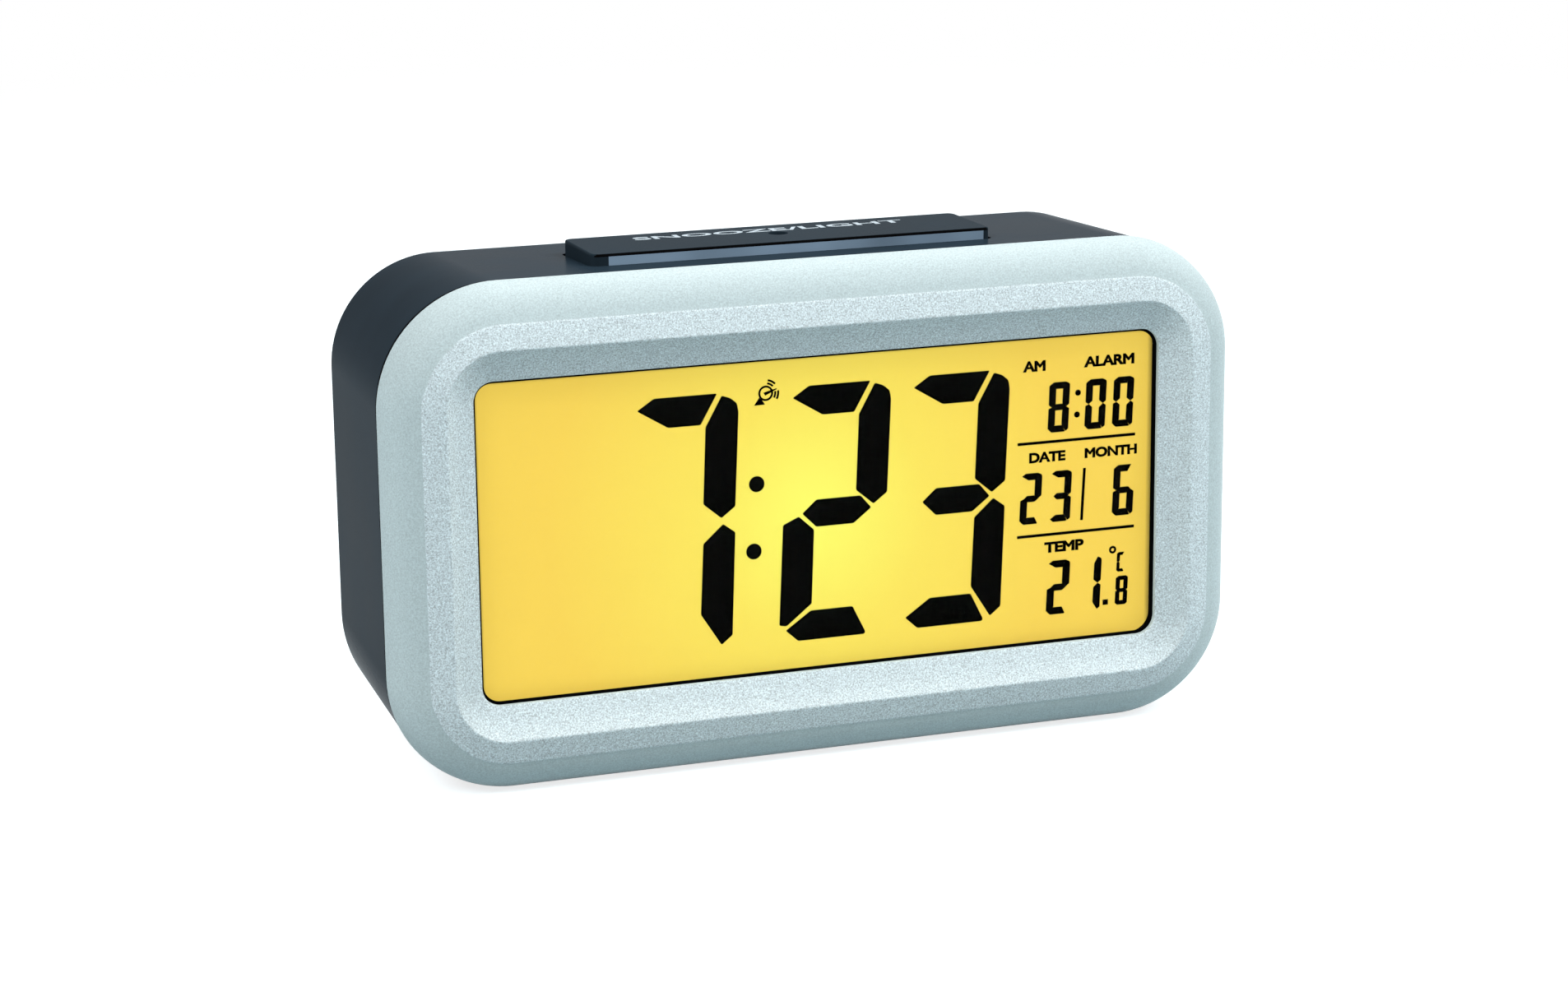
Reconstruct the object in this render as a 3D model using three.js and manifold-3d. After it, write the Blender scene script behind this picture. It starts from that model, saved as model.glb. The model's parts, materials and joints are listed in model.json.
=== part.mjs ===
// Radio-controlled LCD alarm clock with a silver front frame, a dark moulded housing
// and a wide snooze bar. Millimetres, +Z up, the display faces -Y, +X is to the
// reader's right. Depths are counted from the joint between frame and housing.
import * as THREE from "three";
import { mergeVertices } from "three/addons/utils/BufferGeometryUtils.js";
import Module from "manifold-3d";

// Driving sizes of the case
const bodyWidth = 135;
const bodyHeight = 76.4;
const cornerRadius = 18.35;
const housingDepth = 37.2;
const housingTaper = 1.63;
const housingInset = 0.25;
const backEdgeRadius = 1.2;
const backCornerGrowth = 0.55;
const wall = 2;
const backWall = 2.2;
const innerCornerLess = 0.5;
const ribThickness = 1.2;
const ribHeight = 1.6;
const ribFront = 8.5;

// Free space between neighbours, reach of a cut past its body, depth of a join
const gap = 0.3;
const over = 1;
const bite = 0.4;

// Front frame: crest and ridge are rings between the outline and the window
const frameWidth = 13.15;
const frameWidthTall = 13.85;
const crestRise = 7.8;
const crestInset = 8.5;
const ridgeRise = 6.7;
const ridgeInset = 5.05;
const lipRise = 5.2;
const lipThickness = 0.8;
const windowCornerRadius = 3;
const tongueLength = 2.8;
const tongueThickness = 1.2;
const funnelShift = 0.4;
const funnelSag = 0.35;
const flankShareAcross = 0.06;
const flankShareDeep = 0.78;

// Inner side of the frame: seat behind the lip and thickness up to the flank
const seatWidth = 4.1;
const crestThickness = 1.9;
const ridgeThickness = 1.6;
const ridgeInside = 1;
const flankThickness = 3.1;

// Posts on the inner side of the frame
const postRoot = 1.4;
const screwPostRadius = 3.2;
const screwPostEnd = 13.7;
const boardPostRadius = 2.4;
const boardPostInset = 4.3;
const boardPostRise = 0.4;

// Display stack behind the window
const lensThickness = 0.8;
const lensMargin = 1.55;
const gasketThickness = 0.4;
const gasketReveal = 0.25;
const gasketCornerRadius = 4;
const lcdThickness = 2;
const guideThickness = 2.2;
const guideMargin = 3.2;
const guideMarginTall = 3;
const guideCornerRadius = 1.5;
const trayThickness = 1.2;
const trayWall = 0.9;
const trayCornerRadius = 2.5;
const trayInnerRadius = 0.5;
const zebraInset = 1.5;
const zebraHalfWidth = 1;
const zebraShare = 0.8;
const lampLength = 2.2;
const lampHalfHeight = 2;
const lampRoom = 0.8;

// Main board and its screws
const boardThickness = 1.6;
const boardMargin = 0.3;
const boardMarginTall = 0.6;
const boardCornerRadius = 10;
const boardShankRadius = 0.9;
const boardShankReach = 5.5;
const boardHeadRadius = 1.9;
const boardHeadHeight = 1.3;
const pilotSpare = 0.5;

// Parts on the main board: offsets from its middle, insets from its right end
const chipRadius = 7;
const chipHeight = 1.9;
const chipOffset = 12;
const chipDrop = 9;
const crystalRadius = 1;
const crystalOffset = 4;
const crystalLength = 6;
const largeCapacitorRadius = 3.15;
const largeCapacitorHeight = 11.2;
const largeCapacitorInset = 25.6;
const smallCapacitorRadius = 2.5;
const smallCapacitorHeight = 8.7;
const smallCapacitorInset = 15.6;
const capacitorDrop = 10;

// Aerial rod with its coil and clips
const rodRadius = 4;
const rodHalf = 32;
const rodStandoff = 8.4;
const rodDrop = 3.6;
const coilThickness = 1.7;
const coilInset = 8;
const coilLength = 18;
const clipInset = 4;
const clipHalf = 2;
const clipWall = 1.4;
const clipReach = 2.4;

// Snooze bar
const barLength = 64;
const barDepth = 15.6;
const barFront = 8.4;
const barProud = 1.15;
const barTravel = 1;
const barFlange = 1.2;
const barFlangeThickness = 1.2;
const barClearance = 0.4;
const barCornerRadius = 1.6;
const barFlangeRadius = 2.2;
const barHollowRadius = 0.8;
const barEdge = 0.6;
const barSkin = 1.4;
const barRoof = 1.6;
const barRibThickness = 1;
const barRibRise = 0.8;
const barRibShare = 0.16;
const plungerRadius = 2;
const plungerRise = 0.6;
const plungerShare = 0.32;

// Small board under the bar, its posts and the light sensor
const barBoardDepth = 12;
const barBoardThickness = 1.2;
const barBoardEnd = 3;
const barBoardRadius = 1;
const barPostRadius = 2;
const barPostOffset = 3.6;
const sensorHoleRadius = 1.5;
const sensorRadius = 2.4;
const sensorHeight = 4.2;

// Cells, bay and door
const cellRadius = 5.25;
const cellLength = 44.5;
const cellNub = 0.8;
const cellNubRadius = 1.9;
const cellPitch = 11;
const cellPlay = 0.2;
const contactThickness = 0.4;
const contactHalf = 4.7;
const contactBack = 4.2;
const springLength = 4.2;
const springTurns = 3.5;
const springWire = 0.6;
const springWide = 3.6;
const springNarrow = 2;
const dimpleHeight = 0.8;
const dimpleRadius = 1.6;
const bayWall = 2;
const bayFloorThickness = 1.4;
const doorThickness = 1.8;
const doorBottom = 5.6;
const doorLedge = 1.3;
const doorCornerRadius = 2.2;
const tabHalf = 2.5;
const tabDrop = 2;
const tabThickness = 1.2;
const tabSwing = 0.9;
const tabShare = 0.6;
const latchHalf = 4.6;
const latchReach = 1;
const latchStep = 0.6;
const latchSlotWidth = 0.8;
const latchSlotLength = 6.5;
const latchSlotOffset = 1.1;
const gripStart = 1.6;
const gripPitch = 1.5;
const gripWidth = 0.7;
const gripDepth = 0.4;
const gripMargin = 1;

// Rear controls
const rowRise = 13.9;
const recessDepth = 0.9;
const recessHeight = 13;
const recessMargin = 5;
const buttonLength = 9.6;
const buttonHeight = 5.2;
const buttonPitch = 14.4;
const buttonTravel = 0.8;
const buttonClearance = 0.3;
const buttonSink = 0.15;
const buttonCrown = 0.5;
const buttonLip = 1;
const buttonLipThickness = 1.2;
const buttonLipRadius = 2.4;
const stemRadius = 1.6;
const stemReach = 1.5;
const switchBody = 6;
const switchBodyHeight = 3.5;
const switchHeight = 5;
const switchPlungerRadius = 1.7;
const keyBoardThickness = 1.2;
const keyBoardMargin = 1.5;
const keyBoardMarginTall = 2.5;
const keyPostRadius = 1.7;
const keyPostInset = 3;
const keyPostInsetTall = 1.6;

// Slide switch and its knob
const knobLength = 5;
const knobHeight = 3.2;
const knobTravel = 1.75;
const knobCornerRadius = 0.5;
const knobBaseMargin = 0.6;
const knobBaseMarginTall = 1.3;
const knobBaseThickness = 1;
const knobStemHalf = 0.8;
const knobStemHalfTall = 0.7;
const knobStemReach = 1.4;
const knobStemPlay = 0.2;
const knobGroovePitch = 1.4;
const knobGrooveWidth = 0.5;
const knobGrooveDepth = 0.35;
const slideHalf = 5;
const slideHalfTall = 2.3;
const slideHeight = 4.5;
const slideSlotDepth = 2;

// Case screws
const screwOffset = 18;
const screwHeadRadius = 2.4;
const screwHeadHeight = 1.8;
const screwShankRadius = 1.2;
const screwReach = 8;
const screwSink = 9;
const screwBite = 0.3;
const headClearance = 0.4;
const crossHalf = 1.3;
const crossWidth = 0.6;
const crossDepth = 0.8;
const columnWall = 1.6;

// Buzzer behind its sound slots, beside a screw column
const buzzerRadius = 10;
const buzzerHeight = 4.5;
const buzzerRim = 1;
const buzzerRecess = 1.2;
const buzzerSpace = 0.5;
const slotWidth = 1.3;
const slotPitch = 2.7;
const soundSlotLength = 13;
const soundSlotStep = 2;
const ventSlotLength = 9;

// Thermometer behind the vent slots
const beadRadius = 1.5;
const beadOffset = 3.5;
const beadDepth = 4;
const beadBoardThickness = 1;
const beadBoardDepth = 7.7;
const beadBoardHalf = 5;

const wasm = await Module();
wasm.setup();

const middle = bodyHeight / 2;
const halfWidth = bodyWidth / 2;
const windowHalfWidth = halfWidth - frameWidth;
const windowHalfHeight = middle - frameWidthTall;
const backPlane = housingDepth;
const backInside = backPlane - backWall;

function toSolid(geometry) {
  const plain = geometry.clone();
  plain.deleteAttribute("normal");
  plain.deleteAttribute("uv");
  const merged = mergeVertices(plain, 1e-4);
  const vertProperties = new Float32Array(merged.attributes.position.array);
  const triVerts = new Uint32Array(merged.index.array);
  const mesh = new wasm.Mesh({ numProp: 3, vertProperties, triVerts });
  return new wasm.Manifold(mesh);
}

function toGeometry(solid) {
  const mesh = solid.getMesh();
  const geometry = new THREE.BufferGeometry();
  geometry.setAttribute("position", new THREE.BufferAttribute(mesh.vertProperties, 3));
  geometry.setIndex(new THREE.BufferAttribute(mesh.triVerts, 1));
  geometry.computeVertexNormals();
  return geometry;
}

function join(...geometries) {
  let solid = toSolid(geometries[0]);
  for (const geometry of geometries.slice(1)) {
    solid = solid.add(toSolid(geometry));
  }
  return toGeometry(solid);
}

function cut(body, ...tools) {
  let solid = toSolid(body);
  for (const tool of tools) {
    solid = solid.subtract(toSolid(tool));
  }
  return toGeometry(solid);
}

function block(x0, x1, y0, y1, z0, z1) {
  const geometry = new THREE.BoxGeometry(x1 - x0, y1 - y0, z1 - z0);
  return geometry.translate((x0 + x1) / 2, (y0 + y1) / 2, (z0 + z1) / 2);
}

// Round bar along Y, X or Z
function barY(radius, y0, y1, x, z, sides = 20) {
  const geometry = new THREE.CylinderGeometry(radius, radius, y1 - y0, sides);
  return geometry.translate(x, (y0 + y1) / 2, z);
}

function barX(radius, x0, x1, y, z, sides = 20) {
  const geometry = new THREE.CylinderGeometry(radius, radius, x1 - x0, sides);
  return geometry.rotateZ(Math.PI / 2).translate((x0 + x1) / 2, y, z);
}

function barZ(radius, z0, z1, x, y, sides = 20) {
  const geometry = new THREE.CylinderGeometry(radius, radius, z1 - z0, sides);
  return geometry.rotateX(Math.PI / 2).translate(x, y, (z0 + z1) / 2);
}

function roundedRect(width, height, radius) {
  const shape = new THREE.Shape();
  const x = width / 2;
  const y = height / 2;
  const r = Math.min(radius, x - 0.01, y - 0.01);
  shape.moveTo(-x + r, -y);
  shape.lineTo(x - r, -y);
  shape.absarc(x - r, -y + r, r, -Math.PI / 2, 0);
  shape.lineTo(x, y - r);
  shape.absarc(x - r, y - r, r, 0, Math.PI / 2);
  shape.lineTo(-x + r, y);
  shape.absarc(-x + r, y - r, r, Math.PI / 2, Math.PI);
  shape.lineTo(-x, -y + r);
  shape.absarc(-x + r, -y + r, r, Math.PI, Math.PI * 1.5);
  return shape;
}

// Rounded plate that stands in the XZ plane, from depth y0 to y1
function plate(width, height, radius, y0, y1, x, z, steps = 3) {
  const shape = roundedRect(width, height, radius);
  const geometry = new THREE.ExtrudeGeometry(shape, {
    depth: y1 - y0,
    bevelEnabled: false,
    curveSegments: steps,
  });
  return geometry.rotateX(Math.PI / 2).translate(x, y1, z);
}

// Rounded plate that lies in the XY plane, from height z0 to z1
function slab(width, depth, radius, z0, z1, x, y, steps = 3) {
  const shape = roundedRect(width, depth, radius);
  const geometry = new THREE.ExtrudeGeometry(shape, {
    depth: z1 - z0,
    bevelEnabled: false,
    curveSegments: steps,
  });
  return geometry.translate(x, y, z0);
}

// One closed section of the case at depth y
const cornerSteps = 8;
function section(half, bottom, top, radiusBottom, radiusTop, y) {
  const corners = [
    { x: half - radiusBottom, z: bottom + radiusBottom, r: radiusBottom, start: -0.5 },
    { x: half - radiusTop, z: top - radiusTop, r: radiusTop, start: 0 },
    { x: radiusTop - half, z: top - radiusTop, r: radiusTop, start: 0.5 },
    { x: radiusBottom - half, z: bottom + radiusBottom, r: radiusBottom, start: 1 },
  ];
  const points = [];
  for (const corner of corners) {
    for (let step = 0; step <= cornerSteps; step += 1) {
      const angle = Math.PI * (corner.start + (0.5 * step) / cornerSteps);
      const x = corner.x + corner.r * Math.cos(angle);
      const z = corner.z + corner.r * Math.sin(angle);
      points.push(new THREE.Vector3(x, y, z));
    }
  }
  return points;
}

// Skin through sections; an open loft is capped, a closed one joins last to first
function loft(sections, closed) {
  const count = sections[0].length;
  const positions = [];
  for (const ring of sections) {
    for (const point of ring) {
      positions.push(point.x, point.y, point.z);
    }
  }
  const faces = [];
  const last = closed ? sections.length : sections.length - 1;
  for (let row = 0; row < last; row += 1) {
    const here = row * count;
    const next = ((row + 1) % sections.length) * count;
    for (let column = 0; column < count; column += 1) {
      const after = (column + 1) % count;
      faces.push(here + column, next + column, next + after);
      faces.push(here + column, next + after, here + after);
    }
  }
  if (!closed) {
    const flat = sections[0].map((point) => new THREE.Vector2(point.x, point.z));
    const end = (sections.length - 1) * count;
    for (const [a, b, c] of THREE.ShapeUtils.triangulateShape(flat, [])) {
      faces.push(a, b, c);
      faces.push(end + c, end + b, end + a);
    }
  }
  const geometry = new THREE.BufferGeometry();
  geometry.setAttribute("position", new THREE.Float32BufferAttribute(positions, 3));
  geometry.setIndex(faces);
  return facingOut(geometry);
}

function facingOut(geometry) {
  const p = geometry.attributes.position;
  const index = geometry.index.array;
  const a = new THREE.Vector3();
  const b = new THREE.Vector3();
  const c = new THREE.Vector3();
  let volume = 0;
  for (let i = 0; i < index.length; i += 3) {
    a.fromBufferAttribute(p, index[i]);
    b.fromBufferAttribute(p, index[i + 1]);
    c.fromBufferAttribute(p, index[i + 2]);
    volume += a.dot(b.cross(c));
  }
  if (volume < 0) {
    for (let i = 0; i < index.length; i += 3) {
      const kept = index[i];
      index[i] = index[i + 2];
      index[i + 2] = kept;
    }
  }
  return geometry;
}

const clock = new THREE.Group();
const middleDepth = (housingDepth - crestRise) / 2;
clock.position.y = -middleDepth;

function piece(name, geometry, color, roughness, metalness) {
  const material = new THREE.MeshStandardMaterial({ color, roughness, metalness });
  const mesh = new THREE.Mesh(geometry, material);
  mesh.name = name;
  clock.add(mesh);
  return mesh;
}

// Front frame: the inset runs from 0 at the outline to frameWidth at the window lip.
function frameSection(inset, y) {
  const share = inset / frameWidth;
  const tallInset = frameWidthTall * share;
  const radius = cornerRadius + (windowCornerRadius - cornerRadius) * share;
  return section(halfWidth - inset, tallInset, bodyHeight - tallInset, radius, radius, y);
}

const flank = new THREE.QuadraticBezierCurve(
  new THREE.Vector2(0, 0),
  new THREE.Vector2(ridgeInset * flankShareAcross, -ridgeRise * flankShareDeep),
  new THREE.Vector2(ridgeInset, -ridgeRise),
);
const funnel = new THREE.QuadraticBezierCurve(
  new THREE.Vector2(crestInset, -crestRise),
  new THREE.Vector2(
    (crestInset + frameWidth) / 2 - funnelShift,
    -(crestRise + lipRise) / 2 + funnelSag,
  ),
  new THREE.Vector2(frameWidth, -lipRise),
);
const tongueOut = housingInset + wall + gap;
const tongueIn = tongueOut + tongueThickness;
const lipInside = -lipRise + lipThickness;
const frameProfile = [
  ...flank.getPoints(6),
  ...funnel.getPoints(4),
  new THREE.Vector2(frameWidth, lipInside),
  new THREE.Vector2(frameWidth - seatWidth, -crestRise + crestThickness),
  new THREE.Vector2(ridgeInset + ridgeInside, -ridgeRise + ridgeThickness),
  new THREE.Vector2(tongueIn, -ridgeRise + flankThickness),
  new THREE.Vector2(tongueIn, tongueLength),
  new THREE.Vector2(tongueOut, tongueLength),
  new THREE.Vector2(tongueOut, 0),
];
const frameShell = loft(
  frameProfile.map((point) => frameSection(point.x, point.y)),
  true,
);

const lensFront = lipInside + gap;
const lensBack = lensFront + lensThickness;
const gasketFront = lensBack + gap;
const gasketBack = gasketFront + gasketThickness;
const lcdFront = gasketBack + gap;
const lcdBack = lcdFront + lcdThickness;
const guideFront = lcdBack + gap;
const guideBack = guideFront + guideThickness;
const trayBack = guideBack + gap + trayThickness;
const boardFront = trayBack + gap;
const boardBack = boardFront + boardThickness;

const lensHalfWidth = windowHalfWidth + lensMargin;
const lensHalfHeight = windowHalfHeight + lensMargin;
const screwX = (halfWidth - tongueIn + lensHalfWidth) / 2;
const caseScrews = [
  { name: "left_low", x: -screwX, z: middle - screwOffset },
  { name: "right_low", x: screwX, z: middle - screwOffset },
  { name: "left_high", x: -screwX, z: middle + screwOffset },
  { name: "right_high", x: screwX, z: middle + screwOffset },
];
const tongueInTall = (tongueIn * frameWidthTall) / frameWidth;
const boardPostX = windowHalfWidth - boardPostInset;
const boardPostZ = (lensHalfHeight + middle - tongueInTall) / 2 + boardPostRise;
const boardScrews = [
  { name: "left_low", x: -boardPostX, z: middle - boardPostZ },
  { name: "right_low", x: boardPostX, z: middle - boardPostZ },
  { name: "left_high", x: -boardPostX, z: middle + boardPostZ },
  { name: "right_high", x: boardPostX, z: middle + boardPostZ },
];

let frontBezel = frameShell;
const postFront = -crestRise + postRoot;
for (const screw of caseScrews) {
  frontBezel = join(frontBezel, barY(screwPostRadius, postFront, screwPostEnd, screw.x, screw.z));
}
for (const screw of boardScrews) {
  frontBezel = join(frontBezel, barY(boardPostRadius, postFront, boardFront - gap, screw.x, screw.z));
}
for (const screw of caseScrews) {
  const start = screwPostEnd - screwReach - pilotSpare;
  const pilot = barY(screwShankRadius + gap, start, screwPostEnd + over, screw.x, screw.z, 12);
  frontBezel = cut(frontBezel, pilot);
}
for (const screw of boardScrews) {
  const start = boardFront - boardShankReach - pilotSpare;
  const pilot = barY(boardShankRadius + gap, start, boardFront + over, screw.x, screw.z, 12);
  frontBezel = cut(frontBezel, pilot);
}
piece("front_bezel", frontBezel, 0xc3cfce, 0.42, 0.55);

// Housing
const slope = (housingTaper - housingInset) / housingDepth;
const growth = (backCornerGrowth + housingInset) / housingDepth;
const topAt = (y) => bodyHeight - housingInset - slope * y;
const halfAt = (y) => halfWidth - housingInset - slope * y;
const topRadiusAt = (y) => cornerRadius - housingInset - slope * y;
const lowRadiusAt = (y) => cornerRadius - housingInset + growth * y;

function housingSection(y, inset, depth) {
  return section(
    halfAt(depth) - inset,
    inset,
    topAt(depth) - inset,
    lowRadiusAt(depth) - inset,
    topRadiusAt(depth) - inset,
    y,
  );
}

const outerSections = [housingSection(gap, 0, gap)];
const edgeSteps = 3;
for (let step = 0; step <= edgeSteps; step += 1) {
  const angle = (Math.PI / 2) * (step / edgeSteps);
  const y = backPlane - backEdgeRadius + backEdgeRadius * Math.sin(angle);
  const inset = backEdgeRadius * (1 - Math.cos(angle));
  outerSections.push(housingSection(y, inset, backPlane - backEdgeRadius));
}
const housingOuter = loft(outerSections, false);

function innerSection(y, depth) {
  return section(
    halfAt(depth) - wall,
    wall,
    topAt(depth) - wall,
    lowRadiusAt(depth) - wall - innerCornerLess,
    topRadiusAt(depth) - wall - innerCornerLess,
    y,
  );
}
const housingInner = loft([innerSection(-over, 0), innerSection(backInside, backInside)], false);

// Battery bay: three cells lie along X, one above the other
const bayLength = cellLength + springLength + dimpleHeight + 2 * contactThickness + 4 * gap;
const bayHalfWidth = bayLength / 2;
const bayBottom = doorBottom + doorLedge;
const bayHeight = 2 * cellPitch + 2 * cellRadius + 3 * gap;
const bayTop = bayBottom + bayHeight;
const doorInside = backPlane - doorThickness;
const cellDepth = doorInside - gap - cellRadius - cellPlay;
const bayFloor = cellDepth - cellRadius - gap;
const doorHalfWidth = bayHalfWidth + doorLedge;
const doorTop = bayTop + doorLedge;
const doorMiddle = (doorBottom + doorTop) / 2;
const bayShell = block(
  -bayHalfWidth - bayWall,
  bayHalfWidth + bayWall,
  bayFloor - bayFloorThickness,
  backInside + bite,
  bayBottom - bayWall,
  bayTop + bayWall,
);
const bayHollow = block(-bayHalfWidth, bayHalfWidth, bayFloor, backPlane + over, bayBottom, bayTop);
const doorOpening = plate(
  2 * (doorHalfWidth + gap),
  doorTop - doorBottom + 2 * gap,
  doorCornerRadius + gap,
  doorInside - gap,
  backPlane + over,
  0,
  doorMiddle,
);

// Button row with the slide switch at its right end
const rowCount = 6;
const rowZ = doorTop + rowRise;
const rowX = (place) => (place - (rowCount - 1) / 2) * buttonPitch;
const recessWidth = (rowCount - 1) * buttonPitch + buttonLength + 2 * recessMargin;
const recessFloor = backPlane - recessDepth;
const recess = plate(
  recessWidth,
  recessHeight,
  recessHeight / 2,
  recessFloor,
  backPlane + over,
  0,
  rowZ,
  4,
);

// Board behind the buttons, carried by four posts of the back wall
const lipBack = backInside - gap;
const lipFront = lipBack - buttonLipThickness;
const stemEnd = lipFront - stemReach;
const switchTop = stemEnd - buttonTravel - gap;
const keyBoardBack = switchTop - switchHeight - gap;
const keyBoardFront = keyBoardBack - keyBoardThickness;
const keyBoardHalf = recessWidth / 2 + keyBoardMargin;
const keyBoardTall = recessHeight + 2 * keyBoardMarginTall;
const keyPosts = [];
for (const side of [-1, 1]) {
  for (const level of [-1, 1]) {
    keyPosts.push({
      x: side * (keyBoardHalf - keyPostInset),
      z: rowZ + level * (keyBoardTall / 2 - keyPostInsetTall),
    });
  }
}

// Bar opening in the roof and the posts that carry the small board below it
const barMiddleY = barFront + barDepth / 2;
const barTop = bodyHeight + barProud;
const roofInsideBack = topAt(barFront + barDepth + barFlange + barClearance) - wall;
const flangeTop = roofInsideBack - gap;
const flangeBottom = flangeTop - barFlangeThickness;
const barOpening = slab(
  barLength + 2 * barClearance,
  barDepth + 2 * barClearance,
  barCornerRadius,
  roofInsideBack - over,
  bodyHeight + over,
  0,
  barMiddleY,
);
const plungerEnd = flangeBottom + plungerRise;
const barSwitchTop = plungerEnd - barTravel - gap;
const barBoardTop = barSwitchTop - switchHeight - gap;
const barBoardBottom = barBoardTop - barBoardThickness;
const barPostX = barLength / 2 + barFlange + barPostOffset;

// Sound slots on the left, vent slots for the thermometer on the right
const slotZ = doorMiddle;
const columnRadius = screwHeadRadius + columnWall;
const columnLevel = slotZ - (middle - screwOffset);
const slotX = screwX - Math.sqrt((buzzerRadius + columnRadius + buzzerSpace) ** 2 - columnLevel ** 2);
const slotTools = [];
function slot(x, length) {
  return plate(slotWidth, length, slotWidth / 2, backInside - over, backPlane + over, x, slotZ, 2);
}
const soundSlots = 3;
const ventSlots = 1;
for (let place = -soundSlots; place <= soundSlots; place += 1) {
  const length = soundSlotLength - Math.abs(place) * soundSlotStep;
  slotTools.push(slot(-slotX + place * slotPitch, length));
}
for (let place = -ventSlots; place <= ventSlots; place += 1) {
  slotTools.push(slot(slotX + place * slotPitch, ventSlotLength));
}

// Screw columns
const headSeat = backPlane - screwSink;
const columnFront = screwPostEnd + gap;

let housing = cut(housingOuter, housingInner);
housing = join(housing, bayShell);
for (const screw of caseScrews) {
  housing = join(housing, barY(columnRadius, columnFront, backInside + bite, screw.x, screw.z));
}
for (const post of keyPosts) {
  housing = join(housing, barY(keyPostRadius, keyBoardBack + gap, backInside + bite, post.x, post.z, 12));
}
for (const side of [-1, 1]) {
  const top = topAt(barMiddleY) - wall + bite;
  housing = join(housing, barZ(barPostRadius, barBoardTop + gap, top, side * barPostX, barMiddleY, 12));
}

// Stiffening ribs on the floor
const ribCount = 4;
const ribPitch = (bodyWidth - 2 * cornerRadius) / (ribCount - 0.5);
for (let place = 0; place < ribCount; place += 1) {
  const x = (place - (ribCount - 1) / 2) * ribPitch;
  const half = ribThickness / 2;
  const rib = block(x - half, x + half, ribFront, backInside + bite, wall - bite, wall + ribHeight);
  housing = join(housing, rib);
}
housing = cut(housing, bayHollow, doorOpening, recess, barOpening, ...slotTools);

for (const screw of caseScrews) {
  housing = cut(
    housing,
    barY(screwHeadRadius + headClearance, headSeat, backPlane + over, screw.x, screw.z),
    barY(screwShankRadius + gap, columnFront - over, headSeat + over, screw.x, screw.z, 12),
  );
}
for (let place = 0; place < rowCount - 1; place += 1) {
  const length = buttonLength + 2 * buttonClearance;
  const height = buttonHeight + 2 * buttonClearance;
  const hole = plate(length, height, height / 2, backInside - over, backPlane, rowX(place), rowZ, 3);
  housing = cut(housing, hole);
}
const knobX = rowX(rowCount - 1);
const knobSlot = plate(
  knobLength + 2 * (knobTravel + gap),
  knobHeight + 2 * gap,
  knobCornerRadius,
  backInside - over,
  backPlane,
  knobX,
  rowZ,
  2,
);
housing = cut(housing, knobSlot);

// Door fittings: two tab slots below the bay, a notch for the latch above it
const tabX = bayHalfWidth * tabShare;
const tabFront = lipBack - tabThickness;
for (const side of [-1, 1]) {
  const x = side * tabX;
  const tabSlot = block(
    x - tabHalf - gap,
    x + tabHalf + gap,
    tabFront - tabSwing,
    doorInside,
    doorBottom - tabDrop - gap,
    bayBottom + over,
  );
  housing = cut(housing, tabSlot);
}
const notch = block(
  -latchHalf - gap,
  latchHalf + gap,
  doorInside + latchStep - gap,
  backPlane + over,
  doorTop - over,
  doorTop + latchReach + gap,
);
housing = cut(housing, notch);
piece("main_housing", housing, 0x1d2126, 0.45, 0);

// Window, gasket and display
const lens = plate(
  2 * lensHalfWidth,
  2 * lensHalfHeight,
  windowCornerRadius + lensMargin,
  lensFront,
  lensBack,
  0,
  middle,
  3,
);
piece("lens_window", lens, 0xf2f5f2, 0.05, 0);

const gasket = cut(
  plate(
    2 * lensHalfWidth,
    2 * lensHalfHeight,
    gasketCornerRadius,
    gasketFront,
    gasketBack,
    0,
    middle,
    3,
  ),
  plate(
    2 * (windowHalfWidth - gasketReveal),
    2 * (windowHalfHeight - gasketReveal),
    windowCornerRadius,
    gasketFront - over,
    gasketBack + over,
    0,
    middle,
    3,
  ),
);
piece("display_gasket", gasket, 0x0b0b0c, 0.8, 0);

const trayHalfWidth = lensHalfWidth;
const trayHalfHeight = lensHalfHeight;
const lcdHalfWidth = trayHalfWidth - trayWall - gap;
const lcdHalfHeight = trayHalfHeight - trayWall - gap;
const lcd = block(
  -lcdHalfWidth,
  lcdHalfWidth,
  lcdFront,
  lcdBack,
  middle - lcdHalfHeight,
  middle + lcdHalfHeight,
);
piece("lcd_panel", lcd, 0xf6dc5a, 0.2, 0);

const guideHalfWidth = lcdHalfWidth - guideMargin;
const guideHalfHeight = lcdHalfHeight - guideMarginTall;
const guide = plate(
  2 * guideHalfWidth,
  2 * guideHalfHeight,
  guideCornerRadius,
  guideFront,
  guideBack,
  0,
  middle,
  3,
);
piece("light_guide", guide, 0xfff3b0, 0.3, 0);

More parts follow.
